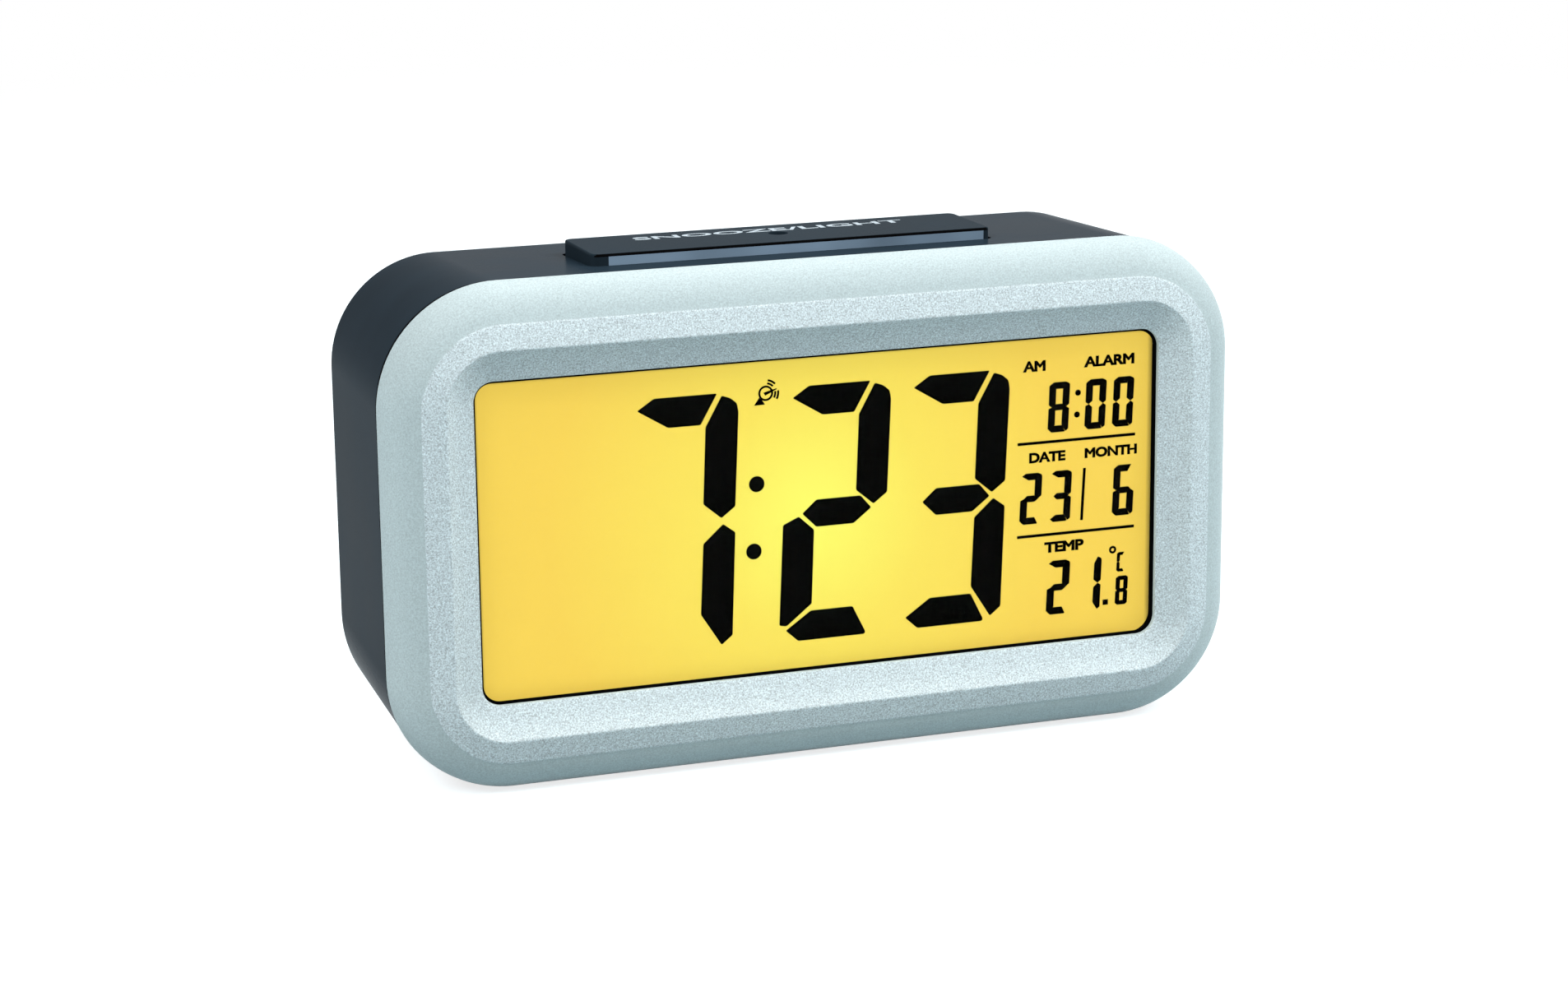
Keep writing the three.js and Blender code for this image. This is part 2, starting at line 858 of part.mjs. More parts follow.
const trayFront = lcdFront;
const trayFloor = guideBack + gap;
const zebraZ = middle - lcdHalfHeight + zebraInset;
const zebraLow = zebraZ - zebraHalfWidth;
const zebraHigh = zebraZ + zebraHalfWidth;
const zebraHalf = lcdHalfWidth * zebraShare;
const lampHole = lampHalfHeight + lampRoom;
const tray = cut(
  plate(2 * trayHalfWidth, 2 * trayHalfHeight, trayCornerRadius, trayFront, trayBack, 0, middle, 2),
  plate(
    2 * (trayHalfWidth - trayWall),
    2 * (trayHalfHeight - trayWall),
    trayInnerRadius,
    trayFront - over,
    trayFloor,
    0,
    middle,
    1,
  ),
  block(
    -zebraHalf - gap,
    zebraHalf + gap,
    trayFloor - over,
    trayBack + over,
    zebraLow - gap,
    zebraHigh + gap,
  ),
  block(
    -lcdHalfWidth - gap,
    -guideHalfWidth + gap,
    trayFloor - over,
    trayBack + over,
    middle - lampHole,
    middle + lampHole,
  ),
  block(
    guideHalfWidth - gap,
    lcdHalfWidth + gap,
    trayFloor - over,
    trayBack + over,
    middle - lampHole,
    middle + lampHole,
  ),
);
piece("display_tray", tray, 0xe9e9e4, 0.6, 0);

const zebra = block(-zebraHalf, zebraHalf, lcdBack + gap, boardFront - gap, zebraLow, zebraHigh);
piece("zebra_strip", zebra, 0x6d6a70, 0.8, 0);

for (const [name, side] of [["backlight_led_left", -1], ["backlight_led_right", 1]]) {
  const inner = guideHalfWidth + gap;
  const outer = inner + lampLength;
  const x0 = side < 0 ? -outer : inner;
  const x1 = side < 0 ? -inner : outer;
  const lampBack = boardFront - gap;
  const lamp = block(x0, x1, guideFront, lampBack, middle - lampHalfHeight, middle + lampHalfHeight);
  piece(name, lamp, 0xffd27a, 0.25, 0);
}

// Main board and what it carries
const boardHalfWidth = lensHalfWidth - boardMargin;
const boardHalfHeight = middle - tongueInTall - boardMarginTall;
let board = plate(
  2 * boardHalfWidth,
  2 * boardHalfHeight,
  boardCornerRadius,
  boardFront,
  boardBack,
  0,
  middle,
  3,
);
for (const screw of boardScrews) {
  const hole = barY(boardShankRadius + gap, boardFront - over, boardBack + over, screw.x, screw.z, 12);
  board = cut(board, hole);
}
piece("main_board", board, 0x1f5a36, 0.5, 0);

const boardSeat = boardBack + gap;
for (const screw of boardScrews) {
  const head = barY(boardHeadRadius, boardSeat, boardSeat + boardHeadHeight, screw.x, screw.z, 12);
  const tip = boardFront - boardShankReach;
  const shank = barY(boardShankRadius, tip, boardSeat + bite, screw.x, screw.z, 12);
  piece(`board_screw_${screw.name}`, join(head, shank), 0x9a9ca0, 0.35, 1);
}

const chipProfile = new THREE.EllipseCurve(0, 0, chipRadius, chipHeight, 0, Math.PI / 2, false, 0);
const chip = new THREE.LatheGeometry([new THREE.Vector2(0, 0), ...chipProfile.getPoints(4)], 20);
chip.translate(-chipOffset, boardSeat, middle - chipDrop);
piece("chip_blob", chip, 0x0c0c0d, 0.5, 0);

const crystalY = boardSeat + crystalRadius;
const crystalEnd = crystalOffset + crystalLength;
const crystal = barX(crystalRadius, crystalOffset, crystalEnd, crystalY, middle - chipDrop, 12);
piece("crystal", crystal, 0xb9bcc0, 0.3, 1);

function capacitor(name, radius, height, inset) {
  const x = boardHalfWidth - inset;
  const can = barY(radius, boardSeat, boardSeat + height, x, middle - capacitorDrop, 16);
  piece(name, can, 0x20262e, 0.4, 0);
}
capacitor("capacitor_large", largeCapacitorRadius, largeCapacitorHeight, largeCapacitorInset);
capacitor("capacitor_small", smallCapacitorRadius, smallCapacitorHeight, smallCapacitorInset);

// Aerial: ferrite rod with its coil, held by two clips on the board
const rodY = boardBack + rodStandoff;
const rodZ = barBoardBottom - rodRadius - rodDrop;
piece("ferrite_rod", barX(rodRadius, -rodHalf, rodHalf, rodY, rodZ, 20), 0x2b2a2c, 0.7, 0);
const coilStart = -rodHalf + coilInset;
const coilEnd = coilStart + coilLength;
const coil = cut(
  barX(rodRadius + coilThickness, coilStart, coilEnd, rodY, rodZ, 24),
  barX(rodRadius + gap, coilStart - over, coilEnd + over, rodY, rodZ, 20),
);
piece("aerial_coil", coil, 0xb4683a, 0.5, 0.3);
const clipPlace = rodHalf - clipInset;
for (const [name, x] of [["rod_clip_left", -clipPlace], ["rod_clip_right", clipPlace]]) {
  const clip = cut(
    block(
      x - clipHalf,
      x + clipHalf,
      boardSeat,
      rodY + clipReach,
      rodZ - rodRadius - clipWall,
      rodZ + rodRadius + clipWall,
    ),
    barX(rodRadius + gap, x - clipHalf - over, x + clipHalf + over, rodY, rodZ, 20),
  );
  piece(name, clip, 0xdedbd2, 0.6, 0);
}

// Snooze bar and its switches
const capShape = roundedRect(barLength - 2 * barEdge, barDepth - 2 * barEdge, barCornerRadius - barEdge);
const cap = new THREE.ExtrudeGeometry(capShape, {
  depth: barTop - flangeBottom - 2 * barEdge,
  bevelEnabled: true,
  bevelThickness: barEdge,
  bevelSize: barEdge,
  bevelSegments: 2,
  curveSegments: 2,
});
cap.translate(0, barMiddleY, flangeBottom + barEdge);
const barInside = barTop - barRoof;
const barHollow = slab(
  barLength - 2 * barSkin,
  barDepth - 2 * barSkin,
  barHollowRadius,
  flangeBottom - over,
  barInside,
  0,
  barMiddleY,
);
const flange = slab(
  barLength + 2 * barFlange,
  barDepth + 2 * barFlange,
  barFlangeRadius,
  flangeBottom,
  flangeTop,
  0,
  barMiddleY,
);
const plungerX = barLength * plungerShare;
let bar = cut(join(cap, flange), barHollow);
for (const side of [-1, 1]) {
  bar = join(bar, barZ(plungerRadius, plungerEnd, barInside + bite, side * plungerX, barMiddleY, 12));
}
const ribY = barDepth / 2 - barSkin + bite;
for (const side of [-1, 1]) {
  const x = side * barRibShare * barLength;
  const half = barRibThickness / 2;
  const low = plungerEnd + barRibRise;
  bar = join(bar, block(x - half, x + half, barMiddleY - ribY, barMiddleY + ribY, low, barInside + bite));
}
bar = cut(bar, barZ(sensorHoleRadius, barInside - over, barTop + over, 0, barMiddleY, 16));
piece("snooze_bar", bar, 0x16181b, 0.4, 0);

const barBoardHalf = barPostX + barBoardEnd;
const barBoard = slab(
  2 * barBoardHalf,
  barBoardDepth,
  barBoardRadius,
  barBoardBottom,
  barBoardTop,
  0,
  barMiddleY,
  3,
);
piece("bar_board", barBoard, 0x1f5a36, 0.5, 0);
const switchHalf = switchBody / 2;
for (const [name, side] of [["snooze_switch_left", -1], ["snooze_switch_right", 1]]) {
  const x = side * plungerX;
  const base = barBoardTop + gap;
  const top = base + switchBodyHeight;
  const body = block(
    x - switchHalf,
    x + switchHalf,
    barMiddleY - switchHalf,
    barMiddleY + switchHalf,
    base,
    top,
  );
  const stem = barZ(switchPlungerRadius, top - bite, barSwitchTop, x, barMiddleY, 12);
  piece(name, join(body, stem), 0x2a2a2c, 0.5, 0);
}
const sensorTop = barBoardTop + sensorHeight;
const sensorBody = barZ(sensorRadius, barBoardTop + gap, sensorTop, 0, barMiddleY, 12);
const sensorDome = new THREE.SphereGeometry(sensorRadius, 12, 6);
sensorDome.rotateX(Math.PI / 2).translate(0, barMiddleY, sensorTop - bite / 4);
piece("light_sensor", join(sensorBody, sensorDome), 0xd9dde0, 0.15, 0);

// Rear buttons, slide switch and their board
const keyBoard = plate(
  2 * keyBoardHalf,
  keyBoardTall,
  keyBoardMargin,
  keyBoardFront,
  keyBoardBack,
  0,
  rowZ,
  3,
);
piece("key_board", keyBoard, 0x1f5a36, 0.5, 0);
const buttonNames = ["mode_button", "set_button", "up_button", "down_button", "wave_button"];
const buttonFace = backPlane - buttonSink;
const keyBase = keyBoardBack + gap;
buttonNames.forEach((name, place) => {
  const x = rowX(place);
  const shape = roundedRect(
    buttonLength - 2 * buttonCrown,
    buttonHeight - 2 * buttonCrown,
    buttonHeight / 2 - buttonCrown,
  );
  const face = new THREE.ExtrudeGeometry(shape, {
    depth: buttonFace - lipFront - 2 * buttonCrown,
    bevelEnabled: true,
    bevelThickness: buttonCrown,
    bevelSize: buttonCrown,
    bevelSegments: 2,
    curveSegments: 2,
  });
  face.rotateX(Math.PI / 2).translate(x, buttonFace - buttonCrown, rowZ);
  const lip = plate(
    buttonLength + 2 * buttonLip,
    buttonHeight + 2 * buttonLip,
    buttonLipRadius,
    lipFront,
    lipBack,
    x,
    rowZ,
    4,
  );
  const stem = barY(stemRadius, stemEnd, lipFront + bite, x, rowZ, 12);
  piece(name, join(face, lip, stem), 0x2c3036, 0.55, 0);
  const keyTop = keyBase + switchBodyHeight;
  const body = block(
    x - switchHalf,
    x + switchHalf,
    keyBase,
    keyTop,
    rowZ - switchHalf,
    rowZ + switchHalf,
  );
  const plunger = barY(switchPlungerRadius, keyTop - bite, switchTop, x, rowZ, 12);
  piece(`key_switch_${place + 1}`, join(body, plunger), 0x2a2a2c, 0.5, 0);
});

const slideTop = keyBase + slideHeight;
const slideSlotHalf = knobStemHalf + knobStemPlay + knobTravel + gap;
const slideSlotTall = knobStemHalfTall + knobStemPlay + gap;
const slideSwitch = cut(
  block(
    knobX - slideHalf,
    knobX + slideHalf,
    keyBase,
    slideTop,
    rowZ - slideHalfTall,
    rowZ + slideHalfTall,
  ),
  block(
    knobX - slideSlotHalf,
    knobX + slideSlotHalf,
    slideTop - slideSlotDepth,
    slideTop + over,
    rowZ - slideSlotTall,
    rowZ + slideSlotTall,
  ),
);
piece("slide_switch", slideSwitch, 0xb4b7ba, 0.4, 0.8);
const knobFront = lipBack - knobBaseThickness;
const knobFace = plate(knobLength, knobHeight, knobCornerRadius, knobFront, buttonFace, knobX, rowZ, 2);
const knobBase = plate(
  knobLength + 4 * knobTravel + 2 * knobBaseMargin,
  knobHeight + 2 * knobBaseMarginTall,
  knobCornerRadius,
  knobFront,
  lipBack,
  knobX,
  rowZ,
  2,
);
const knobStem = block(
  knobX - knobStemHalf,
  knobX + knobStemHalf,
  slideTop - knobStemReach,
  knobFront + bite,
  rowZ - knobStemHalfTall,
  rowZ + knobStemHalfTall,
);
let knob = join(knobFace, knobBase, knobStem);
for (const place of [-1, 0, 1]) {
  const x = knobX + place * knobGroovePitch;
  const half = knobGrooveWidth / 2;
  const bottom = buttonFace - knobGrooveDepth;
  const groove = block(x - half, x + half, bottom, backPlane, rowZ - knobHeight, rowZ + knobHeight);
  knob = cut(knob, groove);
}
piece("slide_knob", knob, 0x2c3036, 0.55, 0);

// Buzzer and thermometer
const buzzer = cut(
  barY(buzzerRadius, lipBack - buzzerHeight, lipBack, -slotX, slotZ, 24),
  barY(buzzerRadius - buzzerRim, lipBack - buzzerRecess, lipBack + over, -slotX, slotZ, 24),
);
piece("buzzer", buzzer, 0x17181a, 0.5, 0);
const bead = new THREE.SphereGeometry(beadRadius, 12, 8);
const beadX = slotX + beadOffset;
const beadBoardX = beadX + beadRadius - bite;
bead.translate(beadX, backInside - beadDepth, slotZ);
const beadBoard = block(
  beadBoardX,
  beadBoardX + beadBoardThickness,
  lipBack - beadBoardDepth,
  lipBack,
  slotZ - beadBoardHalf,
  slotZ + beadBoardHalf,
);
piece("thermistor", join(bead, beadBoard), 0x4b5a3a, 0.5, 0);

// Cells, contacts and door
const cellZ = (place) => bayBottom + gap * 1.5 + cellRadius + place * cellPitch;
const plateBack = bayHalfWidth - gap;
const plateFront = plateBack - contactThickness;
for (let place = 0; place < 3; place += 1) {
  // The odd cell lies the other way round; side is where its flat end points
  const side = place === 1 ? 1 : -1;
  const flatEnd = side * (plateFront - springLength - gap);
  const nubEnd = flatEnd - side * cellLength;
  const shoulder = nubEnd + side * cellNub;
  const inside = shoulder + side;
  const z = cellZ(place);
  const can = barX(
    cellRadius,
    Math.min(flatEnd, shoulder),
    Math.max(flatEnd, shoulder),
    cellDepth,
    z,
    24,
  );
  const nub = barX(cellNubRadius, Math.min(nubEnd, inside), Math.max(nubEnd, inside), cellDepth, z, 16);
  piece(`cell_${place + 1}`, join(can, nub), 0x4f555c, 0.35, 0.4);
}

// Cone spring: radius shrinks toward the cell
class ConeSpring extends THREE.Curve {
  constructor(start, direction, z) {
    super();
    this.start = start;
    this.direction = direction;
    this.z = z;
  }

  getPoint(share, target = new THREE.Vector3()) {
    const angle = 2 * Math.PI * springTurns * share;
    const radius = springWide + (springNarrow - springWide) * share;
    return target.set(
      this.start + this.direction * (springLength - springWire / 2) * share,
      cellDepth + radius * Math.cos(angle),
      this.z + radius * Math.sin(angle),
    );
  }
}

function springTube(side, z) {
  const path = new ConeSpring(side * plateFront, -side, z);
  const wire = new THREE.Shape();
  wire.absarc(0, 0, springWire / 2, 0, 2 * Math.PI, false);
  const steps = Math.round(springTurns * 10);
  return new THREE.ExtrudeGeometry(wire, { steps, curveSegments: 3, extrudePath: path });
}

function springGap() {
  const path = new ConeSpring(0, 1, 0);
  const count = 240;
  const points = [];
  for (let i = 0; i <= count; i += 1) {
    points.push(path.getPoint(i / count));
  }
  const apart = Math.ceil(count / springTurns / 2);
  let least = Infinity;
  for (let i = 0; i <= count; i += 1) {
    for (let k = i + apart; k <= count; k += 1) {
      least = Math.min(least, points[i].distanceTo(points[k]) - springWire);
    }
  }
  return least;
}
console.log(`least gap between spring turns: ${springGap().toFixed(2)} mm`);

function contact(name, side, places) {
  const low = cellZ(places[0]) - contactHalf;
  const high = cellZ(places[places.length - 1]) + contactHalf;
  const x0 = side < 0 ? -plateBack : plateFront;
  const x1 = side < 0 ? -plateFront : plateBack;
  let metal = block(x0, x1, cellDepth - contactHalf, cellDepth + contactBack, low, high);
  for (const place of places) {
    const flatSide = place === 1 ? 1 : -1;
    const z = cellZ(place);
    if (flatSide === side) {
      metal = join(metal, springTube(side, z));
    } else {
      const inner = side * (plateFront - dimpleHeight);
      const outer = side * (plateFront + contactThickness / 2);
      const x2 = Math.min(inner, outer);
      const x3 = Math.max(inner, outer);
      metal = join(metal, barX(dimpleRadius, x2, x3, cellDepth, z, 12));
    }
  }
  piece(name, metal, 0xc9ccd0, 0.25, 1);
}
contact("contact_left_low", -1, [0]);
contact("contact_left_high", -1, [1, 2]);
contact("contact_right_low", 1, [0, 1]);
contact("contact_right_high", 1, [2]);

const doorTall = doorTop - doorBottom;
let door = plate(2 * doorHalfWidth, doorTall, doorCornerRadius, doorInside, backPlane, 0, doorMiddle, 2);
const latch = block(
  -latchHalf,
  latchHalf,
  doorInside + latchStep,
  backPlane,
  doorTop - over,
  doorTop + latchReach,
);
door = join(door, latch);
for (const side of [-1, 1]) {
  const x = side * tabX;
  const web = block(
    x - tabHalf,
    x + tabHalf,
    tabFront,
    doorInside + bite,
    doorBottom + gap,
    doorBottom + gap + tabThickness,
  );
  const foot = block(
    x - tabHalf,
    x + tabHalf,
    tabFront,
    lipBack,
    doorBottom - tabDrop,
    doorBottom + tabThickness,
  );
  door = join(door, web, foot);
  const slotMiddle = side * (latchHalf + latchSlotOffset);
  const latchSlot = block(
    slotMiddle - latchSlotWidth / 2,
    slotMiddle + latchSlotWidth / 2,
    doorInside - over,
    backPlane + over,
    doorTop - latchSlotLength,
    doorTop + over,
  );
  door = cut(door, latchSlot);
}
for (let rib = 0; rib < 3; rib += 1) {
  const z = doorTop - gripStart - rib * gripPitch;
  const grip = block(
    -latchHalf + gripMargin,
    latchHalf - gripMargin,
    backPlane - gripDepth,
    backPlane + over,
    z - gripWidth / 2,
    z + gripWidth / 2,
  );
  door = cut(door, grip);
}
piece("battery_door", door, 0x1d2126, 0.45, 0);

// Case screws
const headFront = headSeat + gap;
const headBack = headFront + screwHeadHeight;
const crossFront = headBack - crossDepth;
for (const { name, x, z } of caseScrews) {
  const half = crossWidth / 2;
  const head = cut(
    barY(screwHeadRadius, headFront, headBack, x, z, 16),
    block(x - crossHalf, x + crossHalf, crossFront, headBack + over, z - half, z + half),
    block(x - half, x + half, crossFront, headBack + over, z - crossHalf, z + crossHalf),
  );
  const shank = barY(screwShankRadius, screwPostEnd - screwReach, headFront + screwBite, x, z, 12);
  piece(`case_screw_${name}`, join(head, shank), 0x9a9ca0, 0.35, 1);
}

export default clock;
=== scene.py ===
import json
import math

import bmesh
import bpy
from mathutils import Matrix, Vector

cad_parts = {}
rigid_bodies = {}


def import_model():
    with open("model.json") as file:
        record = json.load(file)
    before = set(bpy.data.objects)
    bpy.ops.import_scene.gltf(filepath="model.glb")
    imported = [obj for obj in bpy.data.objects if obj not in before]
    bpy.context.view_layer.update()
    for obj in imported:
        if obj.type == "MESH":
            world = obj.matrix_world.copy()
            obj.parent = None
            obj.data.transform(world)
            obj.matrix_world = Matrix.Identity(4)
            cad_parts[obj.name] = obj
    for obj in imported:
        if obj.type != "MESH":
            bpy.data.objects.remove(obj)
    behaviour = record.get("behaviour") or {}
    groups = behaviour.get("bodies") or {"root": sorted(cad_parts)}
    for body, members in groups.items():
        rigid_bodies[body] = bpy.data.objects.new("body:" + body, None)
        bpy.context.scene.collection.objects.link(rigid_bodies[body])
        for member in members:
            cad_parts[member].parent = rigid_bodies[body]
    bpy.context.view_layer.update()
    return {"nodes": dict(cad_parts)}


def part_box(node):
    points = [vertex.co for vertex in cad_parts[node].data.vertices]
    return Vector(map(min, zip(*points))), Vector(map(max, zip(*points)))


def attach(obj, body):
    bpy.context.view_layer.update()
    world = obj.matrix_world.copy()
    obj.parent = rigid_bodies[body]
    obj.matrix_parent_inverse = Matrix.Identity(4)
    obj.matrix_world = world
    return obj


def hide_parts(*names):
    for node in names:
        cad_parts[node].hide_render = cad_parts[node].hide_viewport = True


for leftover in list(bpy.data.objects):
    bpy.data.objects.remove(leftover, do_unlink=True)

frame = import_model()
print("stage 1: frame loaded,", len(frame["nodes"]), "nodes")

mm = 0.001
tiny = 1e-6  # a thousandth of a mm, to tell places apart
gap = 0.3  # free space between neighbours
join = 0.4  # how far a part reaches into the one that it is joined to
over = 1  # how far a cut reaches past its body
jointY = -14.7  # depth of the joint between frame and housing, in the clock's own frame
centreZ = 38.2


# Small helpers for modelling

def deselectAll():
    if bpy.context.object and bpy.context.object.mode != "OBJECT":
        bpy.ops.object.mode_set(mode="OBJECT")
    bpy.ops.object.select_all(action="DESELECT")


def makeActive(obj):
    deselectAll()
    obj.select_set(True)
    bpy.context.view_layer.objects.active = obj


def enterEdit(obj, mode="VERT"):
    makeActive(obj)
    bpy.ops.object.mode_set(mode="EDIT")
    bpy.ops.mesh.select_mode(type=mode)


def leaveEdit():
    bpy.ops.object.mode_set(mode="OBJECT")


def selectAll():
    bpy.ops.mesh.select_all(action="SELECT")


def bevel(width, segments, affect="EDGES"):
    bpy.ops.mesh.bevel(offset=width * mm, segments=segments, profile=0.5, affect=affect)


def selectWhere(obj, kind, test):
    # selects vertices, edges or faces of an object in edit mode by a test on their place
    bm = bmesh.from_edit_mesh(obj.data)
    for group in (bm.verts, bm.edges, bm.faces):
        for item in group:
            item.select = False
    for item in getattr(bm, kind):
        if test(item):
            item.select_set(True)
    bm.select_flush_mode()
    bmesh.update_edit_mesh(obj.data)


def applyPlace(obj):
    makeActive(obj)
    bpy.ops.object.transform_apply(location=True, rotation=True, scale=True)


def bevelEdges(obj, width, segments, test):
    enterEdit(obj, "EDGE")
    selectWhere(obj, "edges", test)
    bevel(width, segments)
    leaveEdit()


def roundRim(obj, axis, places, width, segments):
    # rounds the edges that lie at one of these places along an axis, in mm
    bevelEdges(obj, width, segments, lambda edge: any(
        all(abs(vert.co[axis] - place * mm) < tiny for vert in edge.verts) for place in places
    ))


def splitAcross(obj, axis, place):
    # splits the faces that cross a plane square to an axis, so that each side has its own finish
    spot = Vector((0, 0, 0))
    spot[axis] = place * mm
    normal = Vector((0, 0, 0))
    normal[axis] = 1
    enterEdit(obj)
    selectAll()
    bpy.ops.mesh.bisect(plane_co=spot, plane_no=normal)
    leaveEdit()


def joinObjects(objects, name):
    deselectAll()
    for obj in objects:
        obj.select_set(True)
    bpy.context.view_layer.objects.active = objects[0]
    if len(objects) > 1:
        bpy.ops.object.join()
    joined = bpy.context.object
    joined.name = name
    return joined


def smooth(obj, degrees=32):
    makeActive(obj)
    bpy.ops.object.shade_smooth_by_angle(angle=math.radians(degrees))


def roundedFace(halfWidth, low, high, radiusLow, radiusHigh, depth, segments):
    # upright rounded rectangle, sizes in mm, depth counted from the joint plane
    bpy.ops.mesh.primitive_plane_add(size=2, rotation=(math.pi / 2, 0, 0))
    face = bpy.context.object
    face.scale = (halfWidth * mm, (high - low) / 2 * mm, 1)
    face.location = (0, (jointY + depth) * mm, (low + high) / 2 * mm)
    applyPlace(face)
    enterEdit(face)
    for height, radius in ((low, radiusLow), (high, radiusHigh)):
        selectWhere(face, "verts", lambda vert: abs(vert.co.z - height * mm) < tiny)
        bevel(radius, segments, "VERTICES")
    leaveEdit()
    return face


def bridgeRings(rings, name, closed):
    # a skin through rings that have the same number of points
    for place, ring in enumerate(rings):
        if closed or 0 < place < len(rings) - 1:
            enterEdit(ring, "EDGE")
            selectAll()
            bpy.ops.mesh.delete(type="ONLY_FACE")
            leaveEdit()
        group = ring.vertex_groups.new(name=f"ring{place}")
        group.add(range(len(ring.data.vertices)), 1.0, "REPLACE")
    skin = joinObjects(rings, name)
    enterEdit(skin, "EDGE")
    pairs = [(place, place + 1) for place in range(len(rings) - 1)]
    if closed:
        pairs.append((len(rings) - 1, 0))
    for pair in pairs:
        groups = [skin.vertex_groups[f"ring{place}"].index for place in pair]
        bpy.ops.mesh.select_all(action="DESELECT")
        bm = bmesh.from_edit_mesh(skin.data)
        layer = bm.verts.layers.deform.active
        for edge in bm.edges:
            edge.select = any(all(group in vert[layer] for vert in edge.verts) for group in groups)
        bmesh.update_edit_mesh(skin.data)
        bpy.ops.mesh.bridge_edge_loops()
    selectAll()
    bpy.ops.mesh.normals_make_consistent(inside=False)
    leaveEdit()
    skin.vertex_groups.clear()
    return skin


def roundedBlock(width, height, start, end, centre, cornerRadius, segments=6, axis="Y"):
    # block along Y or Z with rounded edges along it; centre holds the two other coordinates, in mm
    depth = end - start
    middle = (start + end) / 2
    if axis == "Y":
        along = 1
        size = (width, depth, height)
        place = (centre[0], middle, centre[1])
    else:
        along = 2
        size = (width, height, depth)
        place = (centre[0], centre[1], middle)
    bpy.ops.mesh.primitive_cube_add(size=1)
    body = bpy.context.object
    body.scale = [value * mm for value in size]
    body.location = [value * mm for value in place]
    applyPlace(body)
    bevelEdges(body, cornerRadius, segments, lambda edge: (
        abs((edge.verts[0].co - edge.verts[1].co)[along]) > tiny
    ))
    return body


def plainBlock(x0, x1, y0, y1, z0, z1):
    bpy.ops.mesh.primitive_cube_add(size=1)
    body = bpy.context.object
    body.scale = ((x1 - x0) * mm, (y1 - y0) * mm, (z1 - z0) * mm)
    body.location = ((x0 + x1) / 2 * mm, (y0 + y1) / 2 * mm, (z0 + z1) / 2 * mm)
    applyPlace(body)
    return body


def roundBar(radius, start, end, centre, axis="Y", sides=48):
    # cylinder along one axis from start to end; centre holds the two other coordinates, in mm
    bpy.ops.mesh.primitive_cylinder_add(vertices=sides, radius=radius * mm, depth=(end - start) * mm)
    bar = bpy.context.object
    middle = (start + end) / 2
    if axis == "Y":
        bar.rotation_euler = (math.pi / 2, 0, 0)
        bar.location = (centre[0] * mm, middle * mm, centre[1] * mm)
    elif axis == "X":
        bar.rotation_euler = (0, math.pi / 2, 0)
        bar.location = (middle * mm, centre[0] * mm, centre[1] * mm)
    else:
        bar.location = (centre[0] * mm, centre[1] * mm, middle * mm)
    applyPlace(bar)
    return bar


def combine(body, others, operation):
    # one boolean with all of these tools; tools that meet each other go in separate calls
    tool = joinObjects(others, "tool")
    modifier = body.modifiers.new("combine", "BOOLEAN")
    modifier.operation = operation
    modifier.solver = "EXACT"
    modifier.object = tool
    makeActive(body)
    bpy.ops.object.modifier_apply(modifier=modifier.name)
    bpy.data.objects.remove(tool, do_unlink=True)


def unite(body, *others):
    combine(body, others, "UNION")


def cutOut(body, *others):
    combine(body, others, "DIFFERENCE")


def weighNormals(obj):
    makeActive(obj)
    weighted = obj.modifiers.new("weighted", "WEIGHTED_NORMAL")
    weighted.keep_sharp = True
    bpy.ops.object.modifier_apply(modifier=weighted.name)


def softEdges(obj, width, degrees=50):
    # small rounded edges, then smooth shading that keeps the flats flat
    makeActive(obj)
    edges = obj.modifiers.new("edges", "BEVEL")
    edges.width = width * mm
    edges.segments = 2
    edges.limit_method = "ANGLE"
    edges.angle_limit = math.radians(degrees)
    edges.use_clamp_overlap = True
    bpy.ops.object.modifier_apply(modifier=edges.name)
    smooth(obj)
    weighNormals(obj)


def dress(obj, material, body, *nodes, slot):
    obj.data.materials.clear()
    obj.data.materials.append(material)
    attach(obj, body)
    if nodes:
        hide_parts(*nodes)


def nodeBox(name):
    # lowest and highest corner of a CAD node, in mm
    low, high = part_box(name)
    return [value / mm for value in low], [value / mm for value in high]


def nodeMiddle(name):
    low, high = nodeBox(name)
    return [(start + end) / 2 for start, end in zip(low, high)]


# Materials

def linear(red, green, blue):
    def one(value):
        share = value / 255
        return share / 12.92 if share <= 0.04045 else ((share + 0.055) / 1.055) ** 2.4
    return (one(red), one(green), one(blue), 1)


def scaled(colour, factor):
    return (colour[0] * factor, colour[1] * factor, colour[2] * factor, 1)


def fillInputs(tree, node, inputs):
    # each input is a value or the output of another node
    for socket, value in inputs.items():
        if isinstance(value, bpy.types.NodeSocket):
            tree.links.new(value, node.inputs[socket])
        else:
            node.inputs[socket].default_value = value


def addNode(tree, kind, inputs, **settings):
    node = tree.nodes.new(kind)
    for name, value in settings.items():
        setattr(node, name, value)
    fillInputs(tree, node, inputs)
    return node


def mathNode(tree, operation, *values):
    return addNode(tree, "ShaderNodeMath", dict(enumerate(values)), operation=operation).outputs["Value"]


